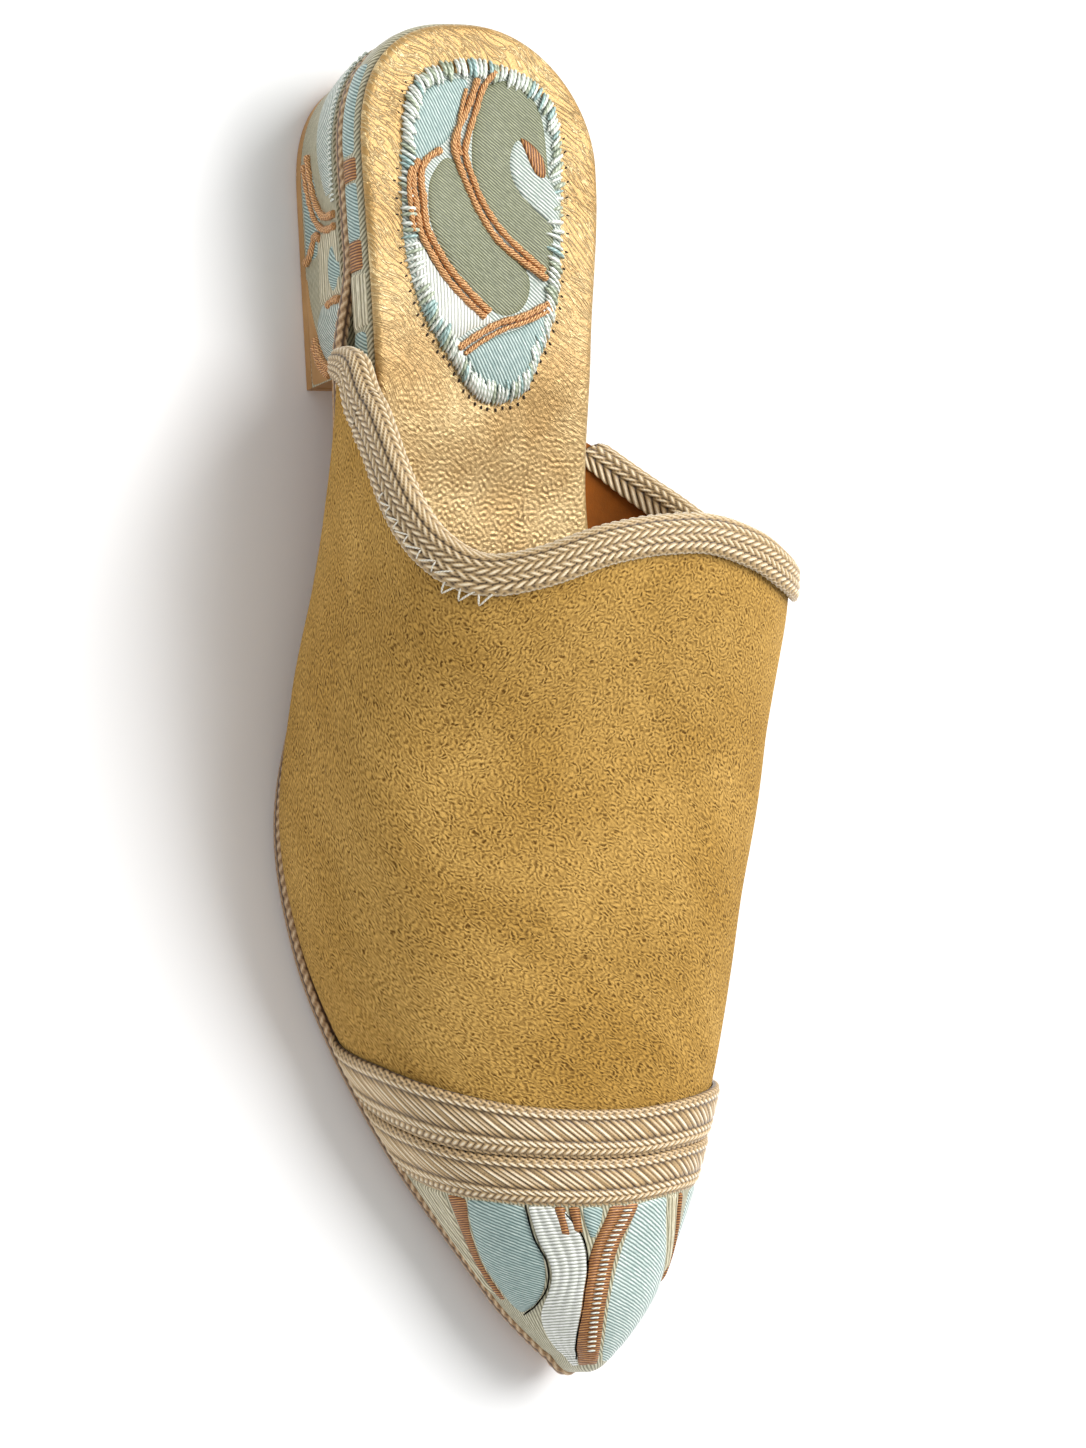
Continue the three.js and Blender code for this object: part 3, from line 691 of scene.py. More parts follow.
share = crowded(700)
halves = []
for side in (0, 1):
    x = (HEEL_END + CORD_IN) * (1 - share) + (TOE_END + CORD_OUT + WELT) * share
    y = outline(x, cord_offset(x, side))[side]
    halves.append(np.stack([x, y, underside(x) - GAP - CORD_RADIUS], -1))
route = np.concatenate([halves[0], halves[1][::-1][1:]])
length = travelled(route)
knots = round(length[-1] / PIPING_PITCH)
mm = np.linspace(0, length[-1], knots * 7 + 1)
route = np.stack([np.interp(mm, length, route[:, k]) for k in range(3)], -1)
# the route ends where it begins, so its slope there is taken across the join
run = unit(np.gradient(np.concatenate([route[-2:-1], route, route[1:2]]), axis=0)[1:-1])
aside = unit(np.cross(run, (0.0, 0.0, 1.0)))
up = np.cross(aside, run)
turn = np.linspace(0, 2 * np.pi, 17)
leans = np.array([1.1, -1.1, 1.1, -1.1])
row = turn[None] / (2 * np.pi) * CORD_ROWS
relief = plait(mm[:, None], row, np.arange(CORD_ROWS + 1.0), leans, length[-1] / knots)
radius = CORD_RADIUS * (0.8 + 0.24 * relief)
ring = aside[:, None] * np.cos(turn)[None, :, None] + up[:, None] * np.sin(turn)[None, :, None]
cord = route[:, None] + radius[..., None] * ring
flat = np.stack(np.broadcast_arrays(turn[None] * CORD_RADIUS, mm[:, None]), -1)
# colours: painted highlight, middle tone, painted shade in the dips
piping_braid = braided("tan_cotton_cord", "#E9CFA9", "#B48F66", "#4A3019")
lay("braided_piping", [(cord, flat, 0, relief)], [piping_braid], ["sole_piping"], sharp=180)


# ---------------------------------------------------------------- insole
# Gilt kid leather, 1.4 mm with its padding, glued over the platform. The gilding has broken into fine creases
# that slant across the heel seat and curl towards the toe. A row of dark marks under the throat is painted
# shade standing in for needle holes.

INSOLE = 1.4
# growth and height above the platform at each step of the turned edge, from below
insole_edge = [(-1.3, 0.0), (-0.95, 0.35), (-0.95, 0.8), (-1.3, 1.25), (-1.9, 1.5), (-2.7, 1.55)]
insole_levels = [(grow, lambda x, rise=rise: platform_top(x) + GAP + rise) for grow, rise in insole_edge]


def insole_top(x, y):
    """Height of the sock: two bell-shaped dishes about a millimetre deep under the heel and the ball,
    a few puckers under the throat, and low lumps made of two crossing sine waves."""
    heel_dish = 0.9 * np.exp(-(((x - 32) / 26) ** 2) - (y / 15) ** 2)
    ball_dish = 0.7 * np.exp(-(((x - 165) / 32) ** 2) - ((y - 3) / 22) ** 2)
    pucker = 0.16 * np.sin(x / 5.2 + 1.4 * np.sin(y / 9)) * np.exp(-(((x - 78) / 30) ** 2))
    lumps = 0.2 * np.sin(x / 4.6 + y / 7.5) * np.sin(y / 4.2 - x / 9.5)
    return platform_top(x) + GAP + INSOLE - (heel_dish + ball_dish) + pucker + lumps


def warped(tree, place, scale, detail, reach):
    """The place pushed sideways by cloudy noise, by up to reach."""
    push = noise(tree, place, scale, detail, part="Color")
    inputs = {0: push, 1: (reach, reach, 0.0), 2: place}
    return add(tree, "VectorMath", inputs, operation="MULTIPLY_ADD").outputs[0]


def curled(tree, place, scale, frequency):
    """Short curls that run every way, from wavelets without a direction of their own."""
    inputs = {"Vector": place, "Scale": scale, "Frequency": frequency, "Anisotropy": 0.0}
    return add(tree, "TexGabor", inputs, gabor_type="2D").outputs["Value"]


def crackled_gilt(name):
    """Gilt leather with broken gilding. Its colour follows the creases' relief, gold on their raised lines
    and darker between them, partly the broken gilding and partly painted shade. On the heel seat they are
    level lines of stretched noise, about half a millimetre wide and 5 mm long. Towards the toe they are
    curls, and the dark colour deepens there into a painted shade under the upper."""
    material, tree, shader = new_finish(name, {
        "Metallic": 0.4, "Coat Weight": 0.12, "Coat Roughness": 0.3, "Specular IOR Level": 0.5,
    })
    place = add(tree, "TexCoord", {}).outputs["Object"]
    mm = add(tree, "VectorMath", {0: place, "Scale": 1000.0}, operation="SCALE").outputs[0]
    slant = {"Vector": warped(tree, mm, 0.07, 1, 9.0), "Rotation": (0, 0, 0.87), "Scale": (5.0, 0.8, 4.0)}
    flow = noise(tree, add(tree, "Mapping", slant, vector_type="TEXTURE").outputs[0], 1.0, 2, 0.45)
    away = add(tree, "Math", {0: flow, 1: 0.5}, operation="SUBTRACT").outputs[0]
    near_line = add(tree, "Math", {0: away}, operation="ABSOLUTE").outputs[0]
    edges = {0: near_line, 1: 0.0, 2: 0.075, 3: 1.0, 4: 0.1}
    ridges = add(tree, "MapRange", edges, interpolation_type="SMOOTHSTEP").outputs[0]
    fine = noise(tree, mm, 2.4, 3)
    # the creases change from one kind to the other between these stations of the frame, and the dark colour
    # deepens into painted shade towards the toe
    toeward_kind_and_shade = ramp(tree, add(tree, "SeparateXYZ", {0: mm}).outputs[0], -88.0, -40.0)
    kinds = {0: toeward_kind_and_shade, 2: ridges, 3: curled(tree, mm, 0.5, 1.8)}
    creases = add(tree, "Mix", kinds, data_type="FLOAT").outputs[0]
    gold = blend(tree, ramp(tree, noise(tree, mm, 0.06, 3), 0.35, 0.65), "#BD9A60", "#DFC48E")
    # painted shade: the dark colour is darker towards the toe, where the upper covers the insole
    low = blend(tree, toeward_kind_and_shade, "#AC8548", "#7F6032")
    # gold on the raised lines, dark in the low places: partly broken gilding, partly painted shade
    tone = blend(tree, ramp(tree, creases, 0.0, 0.7), low, gold)
    height = add(tree, "Math", {0: fine, 1: 0.5, 2: creases}, operation="MULTIPLY_ADD").outputs[0]
    dress(tree, shader, tone, ramp(tree, fine, 0.3, 0.7, 0.3, 0.46), height, 0.85, 0.3)
    return material


walls, bottom, top = slab(insole_levels, stations=260, across=48)
fade = fading(np.linspace(0, 1, 48))[None, :] * fading(crowded(260))[:, None]
top[..., 2] += (insole_top(top[..., 0], top[..., 1]) - top[..., 2]) * fade
gilt_leather = crackled_gilt("crackled_gilt_leather")
lay("gilt_insole", plain(*walls, bottom, top), [gilt_leather], ["insole"])

# dark marks that are painted shade standing in for needle holes
needle_hole_shade = thread("painted_needle_hole_shade", "#3A2A18", "#1E150C", roughness=0.9)
y = np.arange(-9.0, 17.0, 1.7)
x = 97.5 + 0.13 * (y + 9) + 0.5 * np.sin(y * 2.1)
low = np.stack([x, y, insole_top(x, y) - 0.02], -1)
rise = np.tile([0.0, 0.0, 0.08], (len(y), 1))
hole_shade_marks = capsules(low, low + (0.7, 0.15, 0.0), rise, 0.2)
lay("insole_needle_hole_shade", plain(hole_shade_marks), [needle_hole_shade])


# ---------------------------------------------------------------- heel patch
# An oval of the brocade, 65 by 35 mm, blanket-stitched to the insole under the heel with thick thread.
# It shows two sage petals, teal and ribbed silver fields, and couched copper cords between them.

PATCH = 0.9  # its thickness


def loop(points, count=160):
    """Closed smooth curve through a few points: a cubic on each span with its neighbours' chord as slope."""
    points = np.array(points, float)
    wide = np.concatenate([points[-3:], points, points[:4]])
    rows = np.column_stack([np.arange(-3.0, len(points) + 4), wide])
    t = np.linspace(0, len(points), count + 1)
    return np.stack([along(rows, 1, t), along(rows, 2, t)], -1)


def on_patch(x, y, out):
    """A point at a height above the insole."""
    return np.stack(np.broadcast_arrays(x, y, insole_top(x, y) + out), -1)


def field(points, low, high, rings=16, count=160, power=7):
    """A worked field inside a closed curve: drawn in to its middle ring by ring, flat inside and rounded
    down to its edge, as the root of one minus the share of the way out to a power. Gives its flat map too."""
    curve = loop(points, count)
    middle = curve[:-1].mean(0)
    out = np.sin(np.linspace(0, np.pi / 2, rings))[None, :, None]
    at = middle + (curve[:, None] - middle) * out
    crown = (1 - out[..., 0] ** power) ** 0.5
    return on_patch(at[..., 0], at[..., 1], low + (high - low) * crown), at


patch_edge = [
    (6.3, -1.5), (8.2, -9), (12.3, -14.3), (20, -16.4), (30, -17.3), (41, -17.4), (51, -15.2), (58, -11.8),
    (63.5, -7.6), (69, -3.5), (71, 1.8), (68.8, 7.6), (62.5, 10.6), (55, 14), (46, 15.8), (34, 16.7),
    (23, 17.2), (14.5, 16.2), (9.4, 11.4), (7.2, 4.6),
]
body, at = field(patch_edge, 0.0, PATCH)
lay("heel_patch", [(body, at, 0)], [silver_twill], facing=(0, 0, 1))
# closed curve, finish, height above the insole
patch_fields = [
    ("right_petal", [
        (12, 1), (10, 7), (12, 11), (17, 13.5), (26, 14), (38, 14.5), (47.5, 12.5), (41, 4.5), (35, 0),
        (28, -2.2), (20, -1.8),
    ], sage_twill, 1.35),
    ("left_petal", [
        (25, -7.5), (26.5, -5), (33, -2.5), (41, 2.5), (46.5, 8.5), (51, 9), (54.5, 6.5), (55, 2),
        (50, -4.5), (45, -8.5), (38, -12), (31, -12), (27, -10),
    ], sage_twill, 1.35),
    ("teal_corner", [
        (10.5, -2), (18, -5), (22, -7), (24.5, -10.5), (27.5, -14), (24, -15), (19, -14.5), (14, -12.5),
        (11, -8),
    ], pale_teal, 1.25),
    ("silver_ribs", [
        (41, -15), (44.5, -12.5), (49, -9), (54, -3), (56, 1), (58, -4), (59.5, -7.5), (56, -11.5),
        (51, -14), (46, -15.5),
    ], silver_rib, 1.3),
    ("teal_tip", [
        (62, -4.5), (59, 1), (57, 7), (54, 12.5), (57.5, 12.5), (62, 10), (66.5, 7.5), (69, 4), (68, -0.5),
        (65, -3.5),
    ], pale_teal, 1.3),
    ("cream_leaf", [
        (21, 7.5), (24, 5.6), (28, 5.6), (32, 7.5), (36, 11.5), (38, 15), (33, 16), (28, 13.5),
        (23.5, 10.5),
    ], silver_twill, 1.75),
    ("copper_leaf", [(21, 8.2), (22.5, 11), (25.5, 13), (29, 13), (28.5, 11), (25, 9.2)], copper_satin, 2.05),
]
for name, points, finish, high in patch_fields:
    body, at = field(points, PATCH - 0.3, high, rings=12, count=120)
    lay("patch_" + name, [(body, at, 0)], [finish], facing=(0, 0, 1))
# stops, radius in mm
patch_cords = [
    ([
        (10, 0), (15, -2.2), (20.5, -5.2), (23, -6), (27, -5), (31, -3.5), (35.5, -1.5), (40.5, 2),
        (44.5, 7), (48, 12.5),
    ], 0.7),
    ([
        (8.5, 4), (11.5, 1.2), (16, -0.8), (21, -2.8), (24.5, -3.6), (29, -2.4), (33.5, -0.6), (38.5, 2.8),
        (43, 7.6), (46.5, 12),
    ], 0.62),
    ([(12, -2.6), (17, -4.2), (22, -5), (25, -4.6)], 0.45),
    ([
        (24, -8.8), (26, -12), (29, -13.6), (33.5, -13.4), (38.5, -13), (42.5, -11), (47, -8), (51, -4),
        (54.5, 0),
    ], 0.75),
    ([(26, -14), (30, -15.4), (35, -15), (40, -14.2), (44, -12), (48.5, -9), (52.5, -5), (55.5, -1)], 0.65),
    ([(27.5, -15.6), (31, -16.4), (36, -16.2), (40, -15.6)], 0.5),
    ([(61.5, -7), (59, -3), (56.5, 2), (55, 7.3), (52.5, 12.8)], 0.7),
    ([(62.5, -5.6), (60, -1.8), (57.6, 3), (56, 8), (53.6, 13.4)], 0.5),
    ([(23, 10), (25.5, 11), (28, 12)], 0.2),
]
cords = plain(*(couched(on_patch, stops, radius, offset=1.3) for stops, radius in patch_cords))
lay("patch_copper_cords", cords, [copper_cord])

# blanket stitches, uneven in reach, height and thickness, in three dyes
STITCHES = 156
rng = np.random.default_rng(7)
edge = loop(patch_edge, STITCHES)[:-1]
inward = unit(edge.mean(0) - edge)
tangent = unit(np.roll(edge, -1, 0) - np.roll(edge, 1, 0))
deep = edge + inward * rng.uniform(2.6, 4.2, (STITCHES, 1)) + tangent * rng.normal(0.2, 0.3, (STITCHES, 1))
outer = edge - inward * rng.uniform(0.3, 1.0, (STITCHES, 1)) + tangent * rng.normal(0, 0.12, (STITCHES, 1))
first = on_patch(outer[:, 0], outer[:, 1], 0.05)
last = on_patch(deep[:, 0], deep[:, 1], PATCH + 0.15)
arch = np.column_stack([np.zeros((STITCHES, 2)), rng.uniform(0.5, 0.95, STITCHES)])
thick = rng.uniform(0.3, 0.48, (STITCHES, 1, 1, 1))
strands = capsules(first, last, arch, thick)
pick = rng.random(STITCHES)
dye = np.searchsorted([0.6, 0.86], pick, side="right")
stitches = [(strands[dye == kind], None, kind) for kind in range(3)]
# teal thread: painted highlight and painted shade on its strands
teal_cord = thread("teal_blanket_stitch", "#B4CCC7", "#7D9C98", roughness=0.42, metallic=0.1, twist=0.8)
lay("patch_blanket_stitches", stitches, [silver_cord, sage_cord, teal_cord])
# a dark mark outside every second stitch: painted shade standing in for a needle hole
start = on_patch(*(outer - inward * 0.25).T, -0.02)[::2]
reach = np.column_stack([-inward * 0.8, np.zeros(STITCHES)])[::2]
hole_shade_marks = capsules(start, start + reach, np.tile([0.0, 0.0, 0.07], (len(start), 1)), 0.22)
lay("patch_needle_hole_shade", plain(hole_shade_marks), [needle_hole_shade])


# ---------------------------------------------------------------- upper
# One piece of mustard suede, lined with brown kid, 2 mm together, lasted over a pointed form and left open at
# the back. The nap lies in short curled tufts, and the leather has soft low troughs where the foot flexes.

WALL = 2.0
CROWN = 0.74  # share of a section that lies above its widest height
# station, height of the ridge, height of the widest line, bulge on the outer and on the inner side,
# squareness of the crown, ridge's y
UPPER = np.array([
    (60, 66, 23, 4.6, 16.0, 2.5, 8), (80, 66, 24, 8.0, 18.2, 2.5, 8), (100, 66, 25, 10.0, 20.0, 2.5, 8),
    (115, 64, 24, 9.4, 16.8, 2.6, 9), (140, 54, 20, 5.4, 8.4, 2.6, 10), (170, 44, 14, 3.6, 3.2, 2.5, 11),
    (200, 33, 11, 1.8, 1.4, 2.3, 13), (225, 24, 8, 1.4, 1.2, 2.1, 13), (250, 15, 6, 1.5, 1.5, 2.0, 11),
])
# side (-1 at the outer base line, 0 on the ridge, 1 at the inner base line), station of the collar
COLLAR = np.array([
    (-1, 62), (-0.9, 62.4), (-0.81, 65), (-0.76, 71.5), (-0.67, 82.5), (-0.56, 94.5), (-0.46, 102.4),
    (-0.34, 107.6), (-0.22, 107.2), (-0.08, 103.4), (0.05, 101.6), (0.2, 104), (0.34, 107), (0.48, 107.6),
    (0.62, 104.6), (0.76, 98), (0.86, 87.4), (0.95, 79), (1, 76),
])
# troughs (depth below zero) and ridges: from station, side to station, side; half-width in mm; height in mm
SOFT_FOLDS = [
    (112, -0.62, 138, -0.30, 7.0, -0.8), (122, -0.72, 152, -0.46, 6.0, 0.5),
    (128, -0.20, 150, 0.12, 9.0, -0.45), (140, -0.70, 172, -0.52, 6.5, -0.6),
    (150, 0.30, 176, 0.62, 8.0, -0.45), (160, -0.44, 186, -0.16, 9.0, 0.35),
    (118, 0.42, 134, 0.66, 7.0, -0.6), (172, -0.30, 190, 0.20, 6.0, -0.35),
]


def suede_relief(x, side):
    """Soft folds: each a bell-shaped trough or ridge, by the distance from a short line on the upper."""
    total = 0.0
    scale = 70.0  # millimetres round the upper for one unit of side
    for x0, s0, x1, s1, half, height in SOFT_FOLDS:
        run = np.array([x1 - x0, (s1 - s0) * scale])
        t = np.clip(((x - x0) * run[0] + (side - s0) * scale * run[1]) / (run @ run), 0, 1)
        far = np.hypot(x - x0 - t * run[0], (side - s0) * scale - t * run[1])
        total = total + height * np.exp(-((far / half) ** 2))
    return total


def form(x, side, grow):
    """A point of the lasted upper, moved out from its outside by grow. The crown is a rounded square from
    the ridge down to the widest line. Below that a quarter of an ellipse tucks in to the base line."""
    x, side, grow = np.broadcast_arrays(np.asarray(x, float), side, grow)
    grow = grow + suede_relief(x, side)
    reach = grow + WALL + GAP
    nose = round_off(x - TOE_END + NOSE_ROUND, NOSE_ROUND + reach)
    outer, inner = outline(x, reach)
    centre = (outer + inner) / 2
    base = np.where(side < 0, outer, inner)
    widest = base + np.where(side < 0, -along(UPPER, 3, x), along(UPPER, 4, x)) * nose
    ridge_y = centre + (along(UPPER, 6, x) - centre) * nose
    wide = along(UPPER, 2, x)
    far = np.abs(side)
    turn = np.clip(far / CROWN, 0, 1) * np.pi / 2
    power = 2 / along(UPPER, 5, x)
    crown_y = ridge_y + (widest - ridge_y) * np.sin(turn) ** power
    crown_z = wide + (along(UPPER, 1, x) + grow - wide) * nose * np.clip(np.cos(turn), 0, 1) ** power
    tuck = np.clip((far - CROWN) / (1 - CROWN), 0, 1) * np.pi / 2
    low = far > CROWN
    y = np.where(low, widest + (base - widest) * (1 - np.cos(tuck)), crown_y)
    z = np.where(low, wide * (1 - np.sin(tuck)), crown_z)
    return np.stack([x, y, z + underside(x)], -1)


def tip_of(grow):
    return TOE_END + WALL + GAP + grow


def shell(start, outer, inner, sides=141, rows=130):
    """A wall over the form between two growths, from a start line to the toe: its outside, and then its
    inside with the edges that close it."""
    side = np.linspace(-1, 1, sides)[None, :]
    share = 1 - (1 - np.linspace(0, 1, rows)[:, None]) ** 1.8
    first = start(side)
    skins = [form(first + (tip_of(grow) - first) * share, side, grow) for grow in (outer, inner)]
    rim = np.stack([skins[0][0], skins[1][0]])
    hems = [np.stack([skins[0][:, k], skins[1][:, k]], 1) for k in (0, -1)]
    return skins[0], [skins[1], rim, *hems]


def curly_suede(name):
    """Suede whose nap stands in curled tufts, 0.7 mm wide and two or three long, brushed lighter and darker
    in patches as broad as a hand's stroke. The deep colour where the nap is low is painted shade between
    the tufts."""
    material, tree, shader = new_finish(name, {
        "Sheen Weight": 0.2, "Sheen Roughness": 0.5, "Sheen Tint": colour("#E2BC74"),
        "Specular IOR Level": 0.15,
    })
    flat = add(tree, "TexCoord", {}).outputs["UV"]
    tufts = curled(tree, warped(tree, flat, 0.55, 3, 2.4), 0.55, 2.1)
    small = noise(tree, flat, 2.2, 4, 0.65)
    clouds = {"Vector": flat, "Scale": 0.035, "Detail": 4, "Roughness": 0.6, "Distortion": 0.4}
    hand = ramp(tree, add(tree, "TexNoise", clouds).outputs["Fac"], 0.32, 0.68)
    nap = add(tree, "Math", {0: small, 1: 0.5, 2: tufts}, operation="MULTIPLY_ADD").outputs[0]
    # painted shade: the deep colours fill the nap's low places between the tufts
    deep = blend(tree, hand, "#53360E", "#6E4C1A")
    pale = blend(tree, hand, "#BD9247", "#D6AC60")
    dress(tree, shader, blend(tree, ramp(tree, nap, 0.48, 0.9), deep, pale), 0.95, nap, 0.9, 0.4)
    return material


def collar_line(side):
    return along(COLLAR, 1, side)


suede = curly_suede("mustard_calf_suede")
lining = leather("brown_kid_lining", "#A35A17", "#74400F", 0.8, wax=0.0)
outside, rest = shell(collar_line, 0.0, -WALL)
lay("suede_upper", plain(outside) + plain(*rest, kind=1), [suede, lining], ["upper"], sharp=60)


# ---------------------------------------------------------------- toe cap
# The brocade again, 1 mm thick, lasted over the point of the toe and covered at its back edge by two flat
# braids. Teal leaves lie on both sides of ribbed silver and of a copper band that curves down to the tip.

# side, back edge of the rear braid, line between the two, front edge of the front one
BANDS = np.array([
    (-1, 187, 199, 212), (-0.75, 193, 205.7, 217.2), (-0.5, 199, 210.7, 220.2), (-0.25, 203.6, 213.2, 222.2),
    (0, 205.3, 214.3, 222.9), (0.25, 203.8, 213, 221.6), (0.5, 201.6, 211.2, 220.2), (1, 197, 206.5, 216),
])
CAP = 1.0
UNDER_BRAID = 1.2 - GAP  # how far the cap runs in under the front braid


def cap_line(side):
    return along(BANDS, 3, side) - UNDER_BRAID


outside, rest = shell(cap_line, GAP + CAP, GAP, 121, 90)
lay("toe_cap_brocade", plain(outside, *rest), [cream_sage_twill], ["toe_cap"], sharp=60)


def on_cap(x, side, out):
    """A point above the cap. Anything worked on it thins out to nothing before the front braid covers it."""
    braid = along(BANDS, 3, side)
    free = eased(x, braid - 0.4, braid + 0.9)
    return form(np.minimum(x, tip_of(GAP + CAP) - 0.3), side, GAP + CAP - 0.25 + (out + 0.25) * free)


# station, outer and inner border
copper_run = [
    (219, -0.035, 0.075), (224, -0.045, 0.07), (230.6, -0.113, 0.01), (237, -0.172, -0.012),
    (243, -0.238, -0.02), (248, -0.345, 0.015), (252.4, -0.52, 0.07),
]
cap_fields = [
    ("outer_leaf", [
        (219, -0.565, -0.33), (226, -0.665, -0.345), (232, -0.75, -0.335), (237, -0.755, -0.39),
        (240, -0.74, -0.505), (241.5, -0.71, -0.66),
    ], 0.45, 1, pale_teal),
    ("silver_ribs", [
        (219, -0.325, -0.245), (228, -0.34, -0.15), (234, -0.325, -0.138), (238, -0.385, -0.162),
        (243, -0.55, -0.21), (248, -0.66, -0.33), (252.4, -0.7, -0.52),
    ], 0.5, 4, silver_rib),
    ("inner_leaf", [
        (220, 0.085, 0.21), (226, 0.05, 0.26), (231, 0.02, 0.34), (237, -0.005, 0.47), (243, -0.01, 0.61),
        (249, 0.05, 0.68), (252, 0.15, 0.62),
    ], 0.45, 1, light_teal),
    ("copper_curve", copper_run, 0.5, 2, copper_satin),
    ("first_bar", [(218, -0.236, -0.196), (228, -0.236, -0.196)], 0.7, 1, copper_satin),
    ("second_bar", [(218, -0.184, -0.144), (227.6, -0.184, -0.144)], 0.7, 1, copper_satin),
    ("small_leaf", [(218, -0.13, -0.06), (225, -0.135, -0.065), (228.6, -0.115, -0.095)], 0.45, 1, pale_teal),
    ("outer_copper", [
        (214, -0.64, -0.56), (220, -0.68, -0.58), (226, -0.745, -0.672), (232, -0.805, -0.755),
        (239, -0.82, -0.765),
    ], 0.5, 1, copper_satin),
    ("outer_silver", [
        (211, -0.86, -0.665), (220, -0.90, -0.70), (228, -0.93, -0.77), (238, -0.94, -0.84),
    ], 0.4, 3, cream_rib),
    ("inner_silver", [
        (219, 0.215, 0.275), (225, 0.265, 0.33), (231, 0.35, 0.42), (236, 0.46, 0.52),
    ], 0.4, 2, cream_rib),
    ("inner_copper", [
        (219, 0.285, 0.315), (225, 0.34, 0.37), (231, 0.43, 0.46), (238, 0.54, 0.57),
    ], 0.5, 1, copper_satin),
    ("far_leaf", [
        (217, 0.40, 0.70), (225, 0.44, 0.80), (232, 0.54, 0.82), (238, 0.66, 0.80),
    ], 0.45, 1, light_teal),
]
work("cap_", on_cap, cap_fields, (0, 0, 1))
cap_cords = [
    ([(221, -0.335), (228, -0.35), (233, -0.332), (237.5, -0.385), (240.5, -0.52), (242, -0.68)], 0.16),
    ([
        (221, -0.24), (228, -0.15), (234, -0.137), (238, -0.162), (243, -0.212), (248, -0.33), (251, -0.47),
    ], 0.16),
]
cords = plain(*(couched(on_cap, stops, radius, 0.9, 0.3, 6) for stops, radius in cap_cords))
lay("cap_silver_lines", cords, [silver_cord])
# a ladder of short silver stitches up the copper band
place = np.linspace(224, 249.5, 30)
rungs = np.array(copper_run)
left, right = along(rungs, 1, place), along(rungs, 2, place)
first, last = (on_cap(place, left + (right - left) * share, 0.4) for share in (0.42, 0.78))
low, high = (on_cap(place, left + (right - left) * 0.6, out) for out in (0.4, 0.75))
lay("cap_ladder_stitches", plain(capsules(first, last, high - low, 0.17)), [silver_cord])


# ---------------------------------------------------------------- toe bands
# Two flat herringbone braids of gold-coloured rayon, about 9 mm wide, sewn side by side across the toe.
# Each has a rolled edge, long floats that lean across it, and tight knots along both sides.

def raised(points, height, outside):
    """Moves each point of a sheet along the sheet's normal, the cross product of its two directions,
    by the given height, towards the side where the outside points lie."""
    normal = np.cross(np.gradient(points, axis=0), np.gradient(points, axis=1))
    normal /= np.maximum(np.linalg.norm(normal, axis=-1, keepdims=True), 1e-9)
    normal *= np.sign(np.sum(normal * (outside - points), axis=-1, keepdims=True))
    return points + normal * height[..., None]


BRAID = 1.2  # thickness
BAND_PITCH = 1.5
# where the rows of the plait meet, in millimetres across the braid, and how far each row leans
BAND_ROWS = np.array([0, 0.8, 1.8, 5.7, 6.9, 7.9, 8.6])
BAND_LEANS = np.array([2.2, -1.1, -3.4, -1.3, 1.1, 2.0])
FLOATS = BAND_ROWS[2:4]  # the borders of the row of long floats
# colours: painted highlight, middle tone, painted shade in the dips
band_braid = braided("gold_rayon_braid", "#FFF4DA", "#CFAE7C", "#3A240D", roughness=0.32)


def band(rear, front, lift):
    """A braid across the toe between two lines: a low arch in section, with its plait raised on it."""
    side = np.linspace(-0.995, 0.995, 1500)
    middle = form((along(BANDS, rear, side) + along(BANDS, front, side)) / 2, side, GAP + BRAID)
    length = travelled(middle)
    mm = np.arange(0, length[-1], BAND_PITCH / 8)
    side = np.interp(mm, length, side)[:, None]
    share = np.linspace(0, 1, 40)[None, :]
    start, end = along(BANDS, rear, side) + 0.05, along(BANDS, front, side) - 0.05
    x = start + (end - start) * share
    arch = (1 - np.abs(2 * share - 1) ** 9) ** 0.5
    base = form(x, side, GAP + (BRAID - 0.15 + lift) * arch)
    width = (end - start) * share
    place = share * BAND_ROWS[-1] + 0 * width
    relief = plait(mm[:, None], place, BAND_ROWS, BAND_LEANS, BAND_PITCH)
    # pairs of strands that cross the long floats the other way and bind them
    bound = np.abs(np.sin(np.pi * (mm[:, None] / 2.6 - place / 1.9))) ** 0.4
    relief = relief * np.where((place > FLOATS[0]) & (place < FLOATS[1]), 0.25 + 0.75 * bound, 1)
    points = raised(base, 0.55 * relief * arch, form(x, side, GAP + 4.0))
    flat = np.stack(np.broadcast_arrays(width, mm[:, None] + 0 * width), -1)
    floor = form(x, side, GAP - 0.05)
    ends = [np.stack([points[k], floor[k]]) for k in (0, -1)]
    edges = [np.stack([points[:, k], floor[:, k]], 1) for k in (0, -1)]
    return [(points, flat, 0, relief * arch)] + plain(floor, *ends, *edges)


lay("rear_toe_braid", band(1, 2, 0.0), [band_braid], ["toe_band_rear"], sharp=180)
lay("front_toe_braid", band(2, 3, 0.12), [band_braid], ["toe_band_front"], sharp=180)


# ---------------------------------------------------------------- collar
# A plaited linen braid, 6 mm wide on the outside and 5 mm on the inside, folded over the whole top edge
# from the piping on the outer side, round the throat, to the piping on the inner side, and sewn through.

COLLAR_PITCH = 1.9
NEAREST = 0.965  # side at which the braid meets the piping


def across_collar(side):
    """Steps in side and in station that go one millimetre square to the collar line, measured on the form
    itself: the products of its two slopes give lengths and right angles on the bent surface."""
    step = 1e-3
    x = collar_line(side)
    here = form(x, side, 0.0)
    inward = np.where(side > 0, -step, step)
    by_side = (form(x, side + inward, 0.0) - here) / inward[:, None]
    by_x = (form(x + step, side, 0.0) - here) / step
    lean = (collar_line(side + inward) - x) / inward
    e, f, g = (by_side**2).sum(-1), (by_side * by_x).sum(-1), (by_x**2).sum(-1)
    a, b = -(f + lean * g), e + lean * f
    long = np.sqrt(a * a * e + 2 * a * b * f + b * b * g)
    return a / long, b / long


